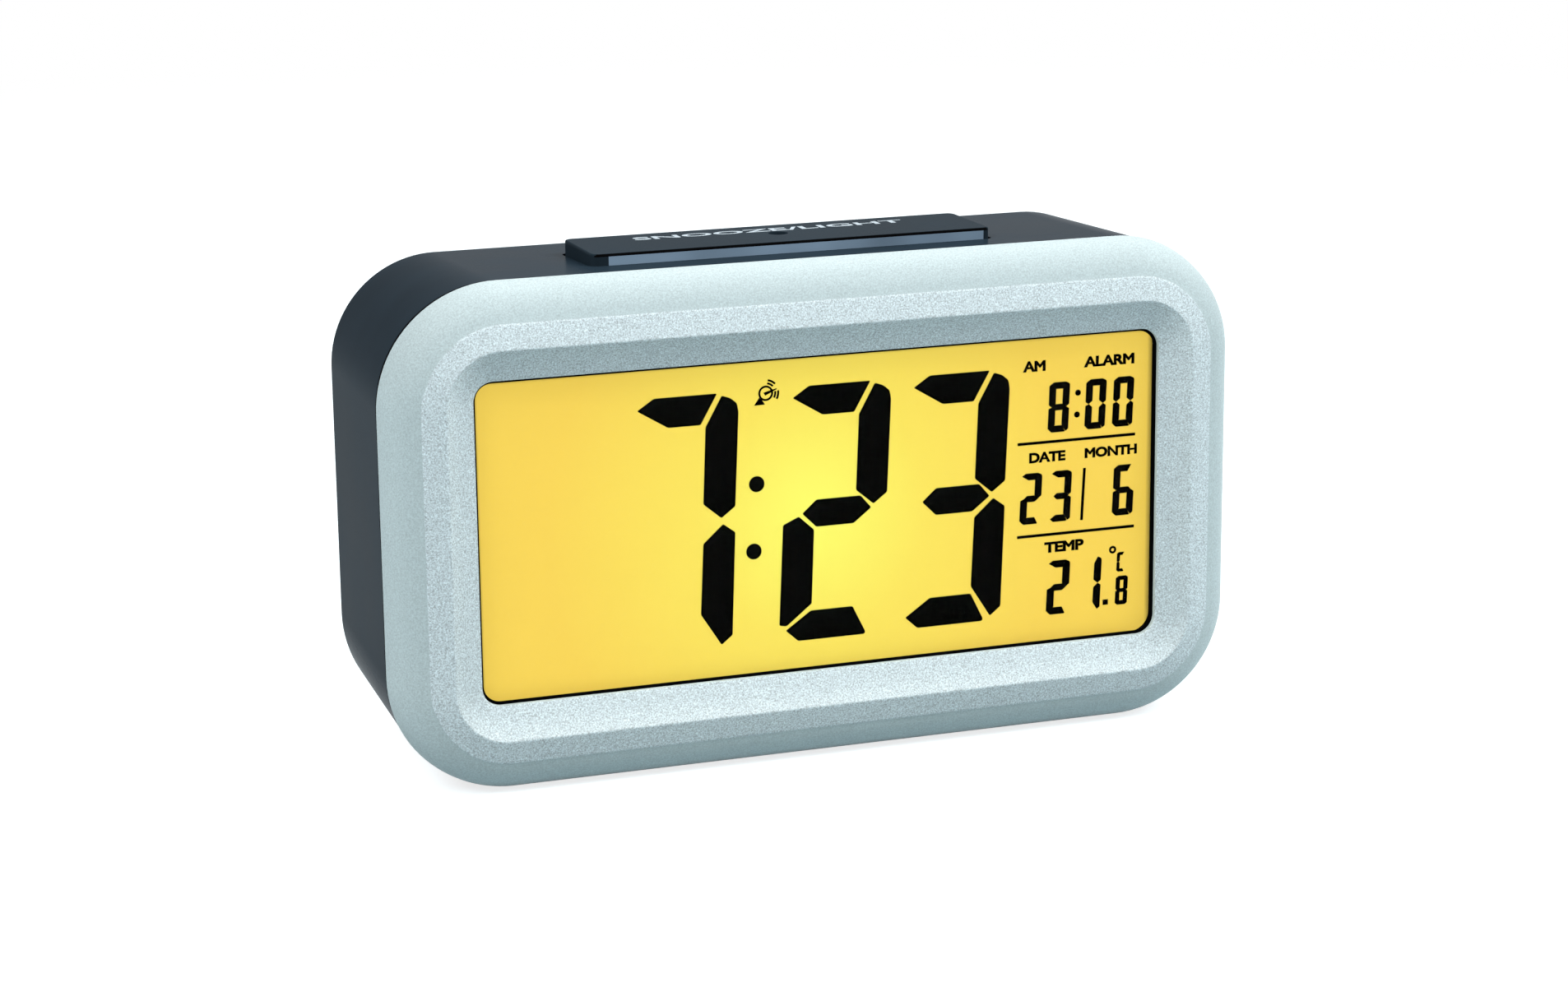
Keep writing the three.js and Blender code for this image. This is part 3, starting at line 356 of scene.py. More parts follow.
class Finish:
    # one material with its shader, and short ways to add grain and bump to it
    def __init__(self, name):
        self.material = bpy.data.materials.new(name)
        self.material.use_nodes = True
        self.tree = self.material.node_tree
        self.shader = self.tree.nodes["Principled BSDF"]
        self.place = self.add("ShaderNodeTexCoord", {}).outputs["Object"]

    def add(self, kind, inputs, **settings):
        return addNode(self.tree, kind, inputs, **settings)

    def feed(self, inputs):
        fillInputs(self.tree, self.shader, inputs)

    def noise(self, scale, detail=2.0, roughness=0.5):
        return self.add("ShaderNodeTexNoise", {
            "Vector": self.place, "Scale": scale, "Detail": detail, "Roughness": roughness,
        }).outputs["Fac"]

    def ramp(self, source, stops):
        node = self.add("ShaderNodeValToRGB", {"Fac": source})
        elements = node.color_ramp.elements
        for place, (position, colour) in enumerate(stops):
            element = elements[place] if place < 2 else elements.new(position)
            element.position = position
            element.color = colour
        return node.outputs["Color"]

    def shades(self, source, colour, *stops):
        return self.ramp(source, [(position, scaled(colour, factor)) for position, factor in stops])

    def spread(self, source, low, high):
        return self.add("ShaderNodeMapRange", {
            "Value": source, "From Min": 0.25, "From Max": 0.75, "To Min": low, "To Max": high,
        }).outputs["Result"]

    def bump(self, source, strength, distance):
        return self.add("ShaderNodeBump", {
            "Height": source, "Strength": strength, "Distance": distance,
        }).outputs["Normal"]


paints = {
    "flank": {"colour": (186, 201, 203), "grain": 3900, "contrast": 0.2, "bump": 0.12},
    "band": {"colour": (206, 219, 223), "grain": 4300, "contrast": 0.5, "bump": 0.5},
    "refraction": 1.12,
    "roughness": 0.46,
}


def silverPaint(part):
    look = paints[part]
    finish = Finish(f"{part}_paint")
    speck = finish.noise(look["grain"], 3.0, 0.65)
    finish.feed({
        "Base Color": finish.shades(
            speck, linear(*look["colour"]), (0.3, 1 - look["contrast"]), (0.7, 1 + look["contrast"] * 0.7),
        ),
        "Roughness": finish.spread(speck, paints["roughness"] + 0.08, paints["roughness"] - 0.06),
        "Normal": finish.bump(speck, look["bump"], 0.00005),
        "IOR": paints["refraction"],
    })
    return finish.material


def plasticFinish(name, colour, roughness, refraction=1.4, grain=2600, contrast=0.12, bumpStrength=0.12):
    # refraction sets how strongly the surface reflects: the dark mouldings are almost matt
    finish = Finish(name)
    cloud = finish.noise(45)
    finish.feed({
        "Base Color": finish.shades(cloud, linear(*colour), (0.35, 1 - contrast), (0.65, 1 + contrast)),
        "Roughness": finish.spread(cloud, roughness - 0.03, roughness + 0.04),
        "Normal": finish.bump(finish.noise(grain), bumpStrength, 0.00003),
        "IOR": refraction,
    })
    return finish.material


def metalFinish(name, colour, roughness, grain=1800):
    finish = Finish(name)
    streak = finish.noise(grain, 2.0, 0.6)
    finish.feed({
        "Base Color": finish.shades(streak, linear(*colour), (0.3, 0.88), (0.7, 1.05)),
        "Roughness": finish.spread(streak, roughness - 0.05, roughness + 0.08),
        "Metallic": 1.0,
    })
    return finish.material


flankPaint = silverPaint("flank")
bandPaint = silverPaint("band")
housingPlastic = plasticFinish("housing_plastic", (31, 43, 52), 0.24, 1.022)
barPlastic = plasticFinish("bar_plastic", (32, 43, 51), 0.28, 1.022, grain=3600, bumpStrength=0.25)
# lighter colour for the bar's front: a painted reflection of the bright studio in its face
barPaintedReflection = plasticFinish("bar_painted_reflection", (120, 142, 162), 0.4, 1.2, grain=900, contrast=0.28)
keyPlastic = plasticFinish("key_plastic", (56, 62, 70), 0.5)
whitePlastic = plasticFinish("white_plastic", (232, 231, 225), 0.5, contrast=0.03)
partPlastic = plasticFinish("part_plastic", (42, 42, 46), 0.5)
# black for the foam gasket and the window print, also used as painted shade in the joint by the frame and for
# the black line on the bar's front
foamPrintAndShadeBlack = plasticFinish("black_foam_print_and_shade", (8, 8, 9), 0.75, 1.03, grain=5000, bumpStrength=0.2)
rubberGrey = plasticFinish("connector_rubber", (120, 118, 122), 0.7)
boardGreen = plasticFinish("board_laminate", (38, 104, 66), 0.4, grain=900, contrast=0.08)
guidePlastic = plasticFinish("guide_plastic", (252, 240, 196), 0.25, contrast=0.03)
lampResin = plasticFinish("lamp_resin", (250, 214, 138), 0.15, contrast=0.04)
clearResin = plasticFinish("sensor_resin", (60, 64, 68), 0.12, 1.45, contrast=0.04, bumpStrength=0.0)
ferriteGrey = plasticFinish("ferrite", (58, 57, 60), 0.7, grain=1200, bumpStrength=0.25)
copperWire = metalFinish("copper_wire", (196, 120, 76), 0.35, 3000)
nickelSteel = metalFinish("nickel_steel", (205, 206, 208), 0.22)
zincSteel = metalFinish("zinc_steel", (170, 172, 176), 0.34)
jacketGrey = plasticFinish("cell_jacket", (92, 98, 106), 0.3, contrast=0.06, bumpStrength=0.03)
jacketBand = plasticFinish("cell_band", (205, 172, 74), 0.3, contrast=0.05, bumpStrength=0.03)
printLight = plasticFinish("bar_print", (176, 188, 196), 0.5, 1.1, contrast=0.05)
segmentBlack = plasticFinish("segment_black", (2, 2, 2), 0.6, 1.0, contrast=0.05, bumpStrength=0.0)


amber = {
    "edge": linear(246, 211, 89),
    "middle": linear(248, 226, 95),
    "hot": linear(251, 251, 109),
    # painted shade along the edge of the display, where the frame's edge shades it
    "rim": linear(150, 130, 60),
    "hotPlace": (-1.5, -1.0),  # mm from the middle of the window
    "spread": (44.0, 46.0),
    "rimShadeWidth": 0.8,
    "lit": (-53.9, 54.6, 13.1, 62.2),  # left, right, lower and upper end of the lit field, where the painted rim shade is full, in mm
    "strength": 0.695,
    "paint": 0.25,  # share of the glow colour that the unlit glass shows
}


def axisDistance(finish, socket, middle, reach):
    # 0 up to the painted rim shade along one axis, then rising to 1 at the edge of the window
    offset = mathNode(finish.tree, "SUBTRACT", socket, middle * mm)
    return finish.add("ShaderNodeMapRange", {
        "Value": mathNode(finish.tree, "ABSOLUTE", offset),
        "From Min": (reach - amber["rimShadeWidth"]) * mm,
        "From Max": reach * mm,
    }).outputs["Result"]


def displayFinish():
    # amber backlight: brightest near the middle, even towards the sides, with painted shade along the rim
    # where the frame's edge shades it
    finish = Finish("display_amber")
    spreadX, spreadZ = (1 / (reach * mm) for reach in amber["spread"])
    hotX = amber["hotPlace"][0] * mm
    hotZ = (centreZ + amber["hotPlace"][1]) * mm
    mapping = finish.add("ShaderNodeMapping", {
        "Vector": finish.place,
        "Location": (-hotX * spreadX, 0, -hotZ * spreadZ),
        "Scale": (spreadX, 0, spreadZ),
    }, vector_type="POINT")
    away = finish.add("ShaderNodeVectorMath", {0: mapping.outputs["Vector"]}, operation="LENGTH")
    glow = finish.ramp(away.outputs["Value"], [
        (0.0, amber["hot"]),
        (0.95, amber["edge"]),
        (0.42, amber["middle"]),
    ])
    axes = finish.add("ShaderNodeSeparateXYZ", {"Vector": finish.place})
    left, right, lower, upper = amber["lit"]
    nearSide = axisDistance(finish, axes.outputs["X"], (left + right) / 2, (right - left) / 2)
    nearTop = axisDistance(finish, axes.outputs["Z"], (lower + upper) / 2, (upper - lower) / 2)
    # of a colour mixer, input 0 is the share, 6 and 7 are the colours and output 2 is the result
    shade = finish.add("ShaderNodeMix", {
        0: mathNode(finish.tree, "MAXIMUM", nearSide, nearTop), 6: glow, 7: amber["rim"],
    }, data_type="RGBA").outputs[2]
    unlit = finish.add("ShaderNodeMix", {
        0: 1.0, 6: shade, 7: scaled((1, 1, 1), amber["paint"]),
    }, data_type="RGBA", blend_type="MULTIPLY").outputs[2]
    finish.feed({
        "Base Color": unlit,
        "Emission Color": shade,
        "Emission Strength": amber["strength"],
        "IOR": 1.05,
        "Roughness": 0.5,
    })
    return finish.material


def windowFinish():
    # thin coated sheet: almost no reflection
    finish = Finish("window_clear")
    finish.feed({
        "Base Color": (1, 1, 1, 1),
        "Roughness": finish.spread(finish.noise(30), 0.0, 0.015),
        "Transmission Weight": 1.0,
        "IOR": 1.05,
    })
    return finish.material


displayAmber = displayFinish()
windowClear = windowFinish()
print("stage 2: materials made")


# Front frame

bezel = {
    "halfWidth": 67.5,
    "halfHeight": 38.2,
    "cornerRadius": 18.35,
    "cornerSegments": 24,
    "inset": 13.15,
    "insetTall": 13.85,
    "windowRadius": 3.0,
    # the section, in mm: a place is its inset from the outline and its depth from the joint
    "ridge": (5.05, -6.7),
    "crest": (8.5, -7.8),
    "lip": -5.2,
    "flankSteps": 12,
    "flankPull": (0.06, 0.78),  # shares of the ridge's place, towards which the flank bulges
    "funnelPull": (-0.4, 0.35),
    "funnelShares": (0.2, 0.4, 0.6, 0.8),
    # a fine raised step runs along the ridge, where the coarser paint begins
    "ridgeStep": ((-0.06, 0.05), (0.08, -0.10), (0.2, -0.16), (1.7, -0.62)),
    "crestEdge": ((-0.2, 0.045), (0, 0), (0.18, 0.075)),
    "lipEdge": ((-0.12, -0.02), (0, 0.12)),
    "lipThickness": 0.8,
    "seatWidth": 4.1,
    "crestThickness": 1.9,
    "ridgeInside": 1,
    "ridgeThickness": 1.6,
    "flankThickness": 3.1,
    "edge": 0.12,
    "tongueOut": 2.55,
    "tongueIn": 3.75,
    "tongueLength": 2.8,
    "bandFrom": 4.9,  # the coarser paint lies further than this in front of the joint
    "bandInset": 4.95,  # and further than this from the outline
}


# from the middle of the window to its edges, in mm
windowHalf = (
    bezel["halfWidth"] - bezel["inset"],
    bezel["halfHeight"] - bezel["insetTall"],
)


def bezier(start, control, end, share):
    rest = 1 - share
    return tuple(
        rest * rest * start[i] + 2 * rest * share * control[i] + share * share * end[i]
        for i in (0, 1)
    )


def around(place, offsets):
    return [(place[0] + inset, place[1] + depth) for inset, depth in offsets]


def frameProfile():
    ridge = bezel["ridge"]
    crest = bezel["crest"]
    lip = (bezel["inset"], bezel["lip"])
    flankControl = (ridge[0] * bezel["flankPull"][0], ridge[1] * bezel["flankPull"][1])
    steps = bezel["flankSteps"]
    points = [bezier((0, 0), flankControl, ridge, step / steps) for step in range(steps)]
    points[0] = (0.0, -bezel["edge"])
    points += around(ridge, bezel["ridgeStep"])
    points += around(crest, bezel["crestEdge"])
    middle = ((crest[0] + lip[0]) / 2, (crest[1] + lip[1]) / 2)
    control = around(middle, [bezel["funnelPull"]])[0]
    points += [bezier(crest, control, lip, share) for share in bezel["funnelShares"]]
    points += around(lip, bezel["lipEdge"])
    # the inner side, from the lip back to the tongue
    tongueIn = bezel["tongueIn"]
    tongueOut = bezel["tongueOut"]
    tongueLength = bezel["tongueLength"]
    return points + [
        (lip[0], lip[1] + bezel["lipThickness"]),
        (lip[0] - bezel["seatWidth"], crest[1] + bezel["crestThickness"]),
        (ridge[0] + bezel["ridgeInside"], ridge[1] + bezel["ridgeThickness"]),
        (tongueIn, ridge[1] + bezel["flankThickness"]),
        (tongueIn, tongueLength),
        (tongueOut, tongueLength),
        (tongueOut, 0),
        (bezel["edge"], 0),
    ]


def frameRing(inset, depth):
    share = inset / bezel["inset"]
    tall = bezel["insetTall"] * share
    radius = bezel["cornerRadius"] + (bezel["windowRadius"] - bezel["cornerRadius"]) * share
    return roundedFace(
        bezel["halfWidth"] - inset,
        tall,
        2 * bezel["halfHeight"] - tall,
        radius,
        radius,
        depth,
        bezel["cornerSegments"],
    )


bezelSkin = bridgeRings([frameRing(*point) for point in frameProfile()], "frame_skin", True)
smooth(bezelSkin, 40)
weighNormals(bezelSkin)
dress(bezelSkin, flankPaint, "case", "front_bezel", slot="silver_paint")
bezelSkin.data.materials.append(bandPaint)
for polygon in bezelSkin.data.polygons:
    # beyond the ridge the paint is coarser; a corner is measured along its own diagonal
    x, y, z = polygon.center / mm
    insets = (bezel["halfWidth"] - abs(x), bezel["halfHeight"] - abs(z - centreZ))
    inset = min(insets)
    if max(insets) < bezel["cornerRadius"]:
        inset = bezel["cornerRadius"] - math.hypot(*(bezel["cornerRadius"] - side for side in insets))
    onFront = y < jointY - bezel["bandFrom"]
    polygon.material_index = 1 if onFront and inset > bezel["bandInset"] else 0

# black print along the edge of the window, which also paints the shade in the gap between frame and display,
# and the foam line behind it: reach of the outer and the inner outline inwards from the window's edge, then
# front and back, in mm
windowLines = {
    "window_print_and_shade": (-0.9, 0.45, -4.17, -4.12),
    "gasket_skin": (-1.5, -0.1, -3.0, -2.6),
}


def windowPlate(inset, front, back):
    return roundedBlock(
        2 * (windowHalf[0] - inset),
        2 * (windowHalf[1] - inset),
        jointY + front,
        jointY + back,
        (0, centreZ),
        bezel["windowRadius"] - inset,
        16,
    )


def windowBorder(name):
    outer, inner, front, back = windowLines[name]
    border = windowPlate(outer, front, back)
    cutOut(border, windowPlate(inner, front - over, back + over))
    border.name = name
    return border


# black print ring round the window: painted shade of the gap between frame and display
dress(windowBorder("window_print_and_shade"), foamPrintAndShadeBlack, "case", slot="black_foam")
dress(windowBorder("gasket_skin"), foamPrintAndShadeBlack, "case", "display_gasket", slot="black_foam")
print("stage 3: front frame")


# Housing

housing = {
    "depth": 37.2,
    "taper": 1.63,
    "inset": 0.25,
    "frontEdge": 0.12,
    "edgeRadius": 1.2,
    "edgeSteps": 6,
    "backGrowth": 0.55,
    "wall": 2.0,
    "backWall": 2.2,
    "cornerLess": 0.5,  # how much tighter the inner corners are
    "cornerSegments": 24,
    "bayWall": 2,
    "bayFloor": 1.4,
    "columnRadius": 4.0,
    "columnFront": -0.7,
    "recessDepth": 0.9,
    "recessHeight": 13.0,
    "recessCorner": 6.49,
    "recessShorter": 3,  # than the key board behind it
    "edge": 0.14,
    "jointShade": 1.6,  # depth of the painted shade: a black band on the housing next to the joint with the frame, where the joint's shadow falls
}
backY = jointY + housing["depth"]
insideY = backY - housing["backWall"]


def housingRing(depth, sizeDepth, inset, cornerLess=0.0):
    # an outline of the housing, as wide as the taper leaves it at sizeDepth and taken in by inset
    share = sizeDepth / housing["depth"]
    slope = (housing["taper"] - housing["inset"]) * share
    grow = (housing["backGrowth"] + housing["inset"]) * share
    less = housing["inset"] + inset
    corner = bezel["cornerRadius"] - less - cornerLess
    return roundedFace(
        bezel["halfWidth"] - less - slope,
        inset,
        2 * bezel["halfHeight"] - less - slope,
        corner + grow,
        corner - slope,
        depth,
        housing["cornerSegments"],
    )


edgeRadius = housing["edgeRadius"]
fullDepth = housing["depth"] - edgeRadius
rings = [
    housingRing(gap, gap, housing["frontEdge"]),
    housingRing(gap + housing["frontEdge"], gap, 0),
]
for step in range(housing["edgeSteps"] + 1):
    angle = math.pi / 2 * step / housing["edgeSteps"]
    depth = fullDepth + edgeRadius * math.sin(angle)
    rings.append(housingRing(depth, fullDepth, edgeRadius * (1 - math.cos(angle))))
shell = bridgeRings(rings, "housing_shell", False)
backInside = housing["depth"] - housing["backWall"]
hollow = bridgeRings([
    housingRing(-over, 0, housing["wall"], housing["cornerLess"]),
    housingRing(backInside, backInside, housing["wall"], housing["cornerLess"]),
], "housing_hollow", False)
cutOut(shell, hollow)
print("  shell hollowed")

doorLow, doorHigh = nodeBox("battery_door")
door = {
    "halfWidth": doorHigh[0],
    "bottom": 5.6,
    "top": doorHigh[2] - 1.0,
    "thickness": 1.8,
    "corner": 2.2,
    "holeCorner": 2.5,
    "ledge": 1.3,
    "edge": 0.14,
    "latchHalf": 4.6,
    "latchReach": 1.0,
    "latchThickness": 1.2,
    "slotAway": 1.1,  # from the latch to the middle of the slot on each side of it
    "slotHalf": 0.4,
    "slotLength": 6.5,
    "ribs": (1.6, 3.1, 4.6),  # how far below the top each finger groove is
    "ribHalf": 0.35,
    "ribDepth": 0.4,
    "tabPlace": 0.6,  # share of the bay's half width
    "tabHalf": 2.5,
    "tabRoot": (0.3, 1.5),  # lower and upper end of a tab's root above the door's lower edge
    "tabTop": 1.2,
    "tabRoom": (2.4, 2.3, 0.5),  # in front of the back wall, below the door and into the bay
}
bayHalf = door["halfWidth"] - door["ledge"]
bayLow = door["bottom"] + door["ledge"]
bayHigh = door["top"] - door["ledge"]
bayWall = housing["bayWall"]
cellLow = nodeBox("cell_1")[0]
bayFloor = cellLow[1] - gap
doorMiddle = (door["bottom"] + door["top"]) / 2
doorTall = door["top"] - door["bottom"]

screw = {
    "headRadius": 2.4,
    "headThickness": 1.8,
    "holeRadius": 2.8,
    "rim": 0.7,
    "shankRadius": 1.2,
    "shankRoot": 0.3,
    "crossLong": 1.3,
    "crossHalf": 0.3,
    "crossDepth": 1.1,
}
screwNodes = [f"case_screw_{corner}" for corner in ("left_low", "right_low", "left_high", "right_high")]
screwPlaces = [nodeMiddle(name)[::2] for name in screwNodes]
screwBack = nodeBox(screwNodes[0])[1][1]

bayBox = plainBlock(
    -bayHalf - bayWall, bayHalf + bayWall,
    bayFloor - housing["bayFloor"], insideY + join,
    bayLow - bayWall, bayHigh + bayWall,
)
unite(shell, bayBox)
columns = [
    roundBar(housing["columnRadius"], housing["columnFront"], insideY + join, place)
    for place in screwPlaces
]
unite(shell, *columns)
cutOut(shell, plainBlock(-bayHalf, bayHalf, bayFloor, backY + over, bayLow, bayHigh))


def rearHole(width, height, depth, x, z, corner, segments=6):
    # cut into the back, to this depth
    return roundedBlock(width, height, backY - depth, backY + over, (x, z), corner, segments)


cutOut(shell, rearHole(
    2 * (door["halfWidth"] + gap), doorTall + 2 * gap, door["thickness"] + gap,
    0, doorMiddle, door["holeCorner"],
))
print("  bay and door opening cut")

rowZ = nodeMiddle("mode_button")[2]
cutOut(shell, rearHole(
    nodeBox("key_board")[1][0] * 2 - housing["recessShorter"], housing["recessHeight"],
    housing["recessDepth"], 0, rowZ, housing["recessCorner"], 12,
))

barLow, barHigh = nodeBox("snooze_bar")
bar = {
    "cornerRadius": 1.3,
    "edge": 0.3,
    "softEdge": 0.12,
    "flange": 1.2,
    "flangeCorner": 2.2,
    "clearance": 0.4,
    "slotCorner": 1.6,
    "slotHeights": (70, 82),
    "wall": 1.4,
    "roof": 1.6,
    "innerCorner": 0.8,
    "holeRadius": 1.5,
    "holeDepth": 3,
    "strip": (-29.5, 30.8),  # left and right end of the painted reflection, a light strip on the front
    "stripBelow": 0.42,
}
barLength = barHigh[0] - barLow[0] - 2 * bar["flange"]
barDepth = barHigh[1] - barLow[1] - 2 * bar["flange"]
barMiddleY = nodeMiddle("snooze_bar")[1]
barTop = barHigh[2]


def barBlock(wider, low, high, corner, segments):
    # upright block round the bar's outline, wider than it by this much on every side
    return roundedBlock(
        barLength + 2 * wider, barDepth + 2 * wider,
        low, high, (0, barMiddleY), corner, segments, "Z",
    )


cutOut(shell, barBlock(bar["clearance"], *bar["slotHeights"], bar["slotCorner"], 8))

rear = {
    "wallCut": 6,
    "buttonHole": (10.2, 5.8),
    "buttonCorner": 2.89,
    "knobHole": (9.1, 3.8),
    "knobCorner": 0.6,
    "slotWidth": 1.3,
    "slotCorner": 0.64,
    "slotPitch": 2.7,
    "soundSlots": (7, 9, 11, 13, 11, 9, 7),
    "ventSlots": (9, 9, 9),
}
buttonNodes = [f"{use}_button" for use in ("mode", "set", "up", "down", "wave")]
buttonX = [nodeMiddle(name)[0] for name in buttonNodes]
knobX = nodeMiddle("slide_knob")[0]
soundX = nodeMiddle("buzzer")[0]
holes = [rearHole(*rear["buttonHole"], rear["wallCut"], x, rowZ, rear["buttonCorner"], 10) for x in buttonX]
holes.append(rearHole(*rear["knobHole"], rear["wallCut"], knobX, rowZ, rear["knobCorner"], 4))
for place in screwPlaces:
    holes.append(roundBar(
        screw["holeRadius"], screwBack - screw["headThickness"] - gap, backY + over, place,
    ))
for middleX, heights in ((soundX, rear["soundSlots"]), (-soundX, rear["ventSlots"])):
    for place, height in enumerate(heights):
        x = middleX + rear["slotPitch"] * (place - len(heights) // 2)
        holes.append(rearHole(
            rear["slotWidth"], height, rear["wallCut"], x, doorMiddle, rear["slotCorner"], 5,
        ))
tabX = bayHalf * door["tabPlace"]
tabRoomHalf = door["tabHalf"] + gap
roomFront, roomBelow, roomAbove = door["tabRoom"]
for x in (-tabX, tabX):
    holes.append(plainBlock(
        x - tabRoomHalf, x + tabRoomHalf,
        insideY - roomFront, backY - door["thickness"],
        door["bottom"] - roomBelow, bayLow + roomAbove,
    ))
latchRoomHalf = door["latchHalf"] + gap
holes.append(plainBlock(
    -latchRoomHalf, latchRoomHalf,
    backY - door["latchThickness"] - gap, backY + over,
    door["top"] - over, door["top"] + door["latchReach"] + gap,
))
cutOut(shell, *holes)
# painted shade: the housing's front edge next to the frame gets the black finish, standing for the shadow in
# the joint
jointShadeY = jointY + housing["jointShade"]
splitAcross(shell, 1, jointShadeY)
shell.name = "housing_skin"
softEdges(shell, housing["edge"])
dress(shell, housingPlastic, "case", "main_housing", slot="dark_plastic")
shell.data.materials.append(foamPrintAndShadeBlack)
for polygon in shell.data.polygons:
    if polygon.center.y < jointShadeY * mm:
        polygon.material_index = 1
print("stage 4: housing")


# Snooze bar

barSkin = barBlock(0, barLow[2], barTop, bar["cornerRadius"], 8)
roundRim(barSkin, 2, [barTop], bar["edge"], 4)
unite(barSkin, barBlock(bar["flange"], barLow[2], barLow[2] + bar["flange"], bar["flangeCorner"], 6))
cutOut(barSkin, barBlock(-bar["wall"], barLow[2] - over, barTop - bar["roof"], bar["innerCorner"], 3))
holeLow = barTop - bar["holeDepth"]
cutOut(barSkin, roundBar(bar["holeRadius"], holeLow, barTop + over, (0, barMiddleY), "Z", 32))
# the painted reflection on the front stops at these ends and below the black line on top
for x in bar["strip"]:
    splitAcross(barSkin, 0, x)
splitAcross(barSkin, 2, barTop - bar["stripBelow"])
barSkin.name = "bar_skin"
softEdges(barSkin, bar["softEdge"], 60)
dress(barSkin, barPlastic, "snooze_bar_body", "snooze_bar", slot="bar_plastic")
barSkin.data.materials.append(barPaintedReflection)
barSkin.data.materials.append(foamPrintAndShadeBlack)
stripBack = barMiddleY - barDepth / 2 + bar["edge"] + 0.01
for polygon in barSkin.data.polygons:
    # the flat front of the bar gets a painted reflection, a lighter strip, under a black line
    x, y, z = polygon.center / mm
    onFront = y < stripBack and polygon.normal.y < -0.3  # faces forward, also on the rounded edges
    if onFront and z > barTop - bar["stripBelow"]:
        polygon.material_index = 2
    elif onFront and z > barLow[2] + bar["flange"] and bar["strip"][0] < x < bar["strip"][1]:
        polygon.material_index = 1
print("stage 5: snooze bar")


# Words, marks and digits

def moveInto(obj, size, centre, upright):
    # fits a flat mesh into a size in mm, upright facing the reader or lying on the roof
    middles = []
    factors = []
    for axis in range(3):
        values = [vert.co[axis] for vert in obj.data.vertices]
        middles.append((min(values) + max(values)) / 2)
        factors.append(size[axis] * mm / (max(values) - min(values)))
    obj.location = [-middle for middle in middles]
    applyPlace(obj)
    obj.scale = factors
    if upright:
        obj.rotation_euler = (math.pi / 2, 0, 0)
    obj.location = [value * mm for value in centre]
    applyPlace(obj)


def words(text, size, centre, upright, weight):
    # plain letters made bolder by weight, in units of the text's own size
    bpy.ops.object.text_add()
    label = bpy.context.object
    label.data.body = text
    label.data.extrude = 0.02  # for now, moveInto gives the real thickness
    label.data.resolution_u = 4
    makeActive(label)
    bpy.ops.object.convert(target="MESH")
    label = bpy.context.object
    enterEdit(label)
    selectAll()
    bpy.ops.mesh.remove_doubles(threshold=0.0001)
    bpy.ops.mesh.normals_make_consistent(inside=False)
    bpy.ops.transform.shrink_fatten(value=weight, use_even_offset=True)
    leaveEdit()
    moveInto(label, size, centre, upright)
    return label


ink = {
    "thickness": 0.06,
    "depth": nodeBox("lcd_panel")[0][1] - 0.09,
    "slant": 0.041,
    "rounding": 0.22,
    "weight": 0.055,
    "swell": 0.08,  # how far the sides of a small digit's segments stand out, in mm
}


def flatPlate(points, rounding=0.0):
    # thin upright plate of ink with the outline of these points, in mm, running round it in order
    bpy.ops.mesh.primitive_circle_add(vertices=len(points), radius=0.01, fill_type="NGON")
    plate = bpy.context.object
    for vert, (x, z) in zip(plate.data.vertices, points):
        vert.co = (x * mm, ink["depth"] * mm, z * mm)
    enterEdit(plate)
    selectAll()
    if rounding > 0:
        bevel(rounding, 3, "VERTICES")
        selectAll()
    bpy.ops.mesh.extrude_region_move(TRANSFORM_OT_translate={"value": (0, ink["thickness"] * mm, 0)})
    selectAll()
    bpy.ops.mesh.normals_make_consistent(inside=False)
    leaveEdit()
    return plate


def disc(x, z, radius, sides):
    return roundBar(radius, ink["depth"], ink["depth"] + ink["thickness"], (x, z), "Y", sides)


# one large digit about its own middle, in mm
digitSize = {"halfWidth": 8.43, "halfHeight": 19.71, "side": 5.1, "cap": 4.57, "waist": 2.1}


def segmentOutlines():
    w = digitSize["halfWidth"]
    h = digitSize["halfHeight"]
    side = digitSize["side"]
    cap = digitSize["cap"]
    waist = digitSize["waist"]
    inner = w - side
    return {
        "a": [(-w + 1.05, h - 1.7), (-w + 3.6, h), (w - 3.45, h), (w - 5.9, h - cap), (-w + 5.9, h - cap)],
        "b": [(w - 2.7, h - 0.4), (w - 1.35, h - 0.85), (w - 0.3, h - 1.7), (w, h - 3.0),
              (w - 0.1, 2.3), (w - 2.25, 0.65), (inner - 0.05, 3.0), (inner, h - 5.0)],
        "c": [(w - 1.95, -0.3), (w, -1.7), (w, -h + 2.1), (w - 1.7, -h + 0.7),
              (inner, -h + 5.7), (inner + 0.1, -3.1)],
        "d": [(-w + 1.05, -h + 1.8), (-w + 5.0, -h + cap), (w - 5.1, -h + cap), (w - 2.85, -h + 0.35),
              (w - 3.05, -h), (-w + 3.1, -h)],
        "e": [(-w + 2.6, -0.3), (-inner, -2.5), (-inner, -h + 5.7), (-w + 1.15, -h + 2.5), (-w, -h + 2.7),
              (-w + 0.1, -1.4)],
        "f": [(-w + 0.5, h - 2.3), (-inner, h - 5.0), (-inner, 3.0), (-w + 2.25, 0.65),
              (-w + 0.1, 2.3), (-w, h - 2.7)],
        "g": [(-w + 3.15, 0.1), (-w + 5.35, waist), (w - 4.4, waist), (w - 2.6, 0.1), (w - 5.4, -waist),
              (-w + 5.45, -waist)],
    }


litSegments = {
    "0": "abcdef",
    "1": "bc",
    "2": "abged",
    "3": "abgcd",
    "6": "acdefg",
    "7": "abc",
    "8": "abcdefg",
    "C": "adef",
}


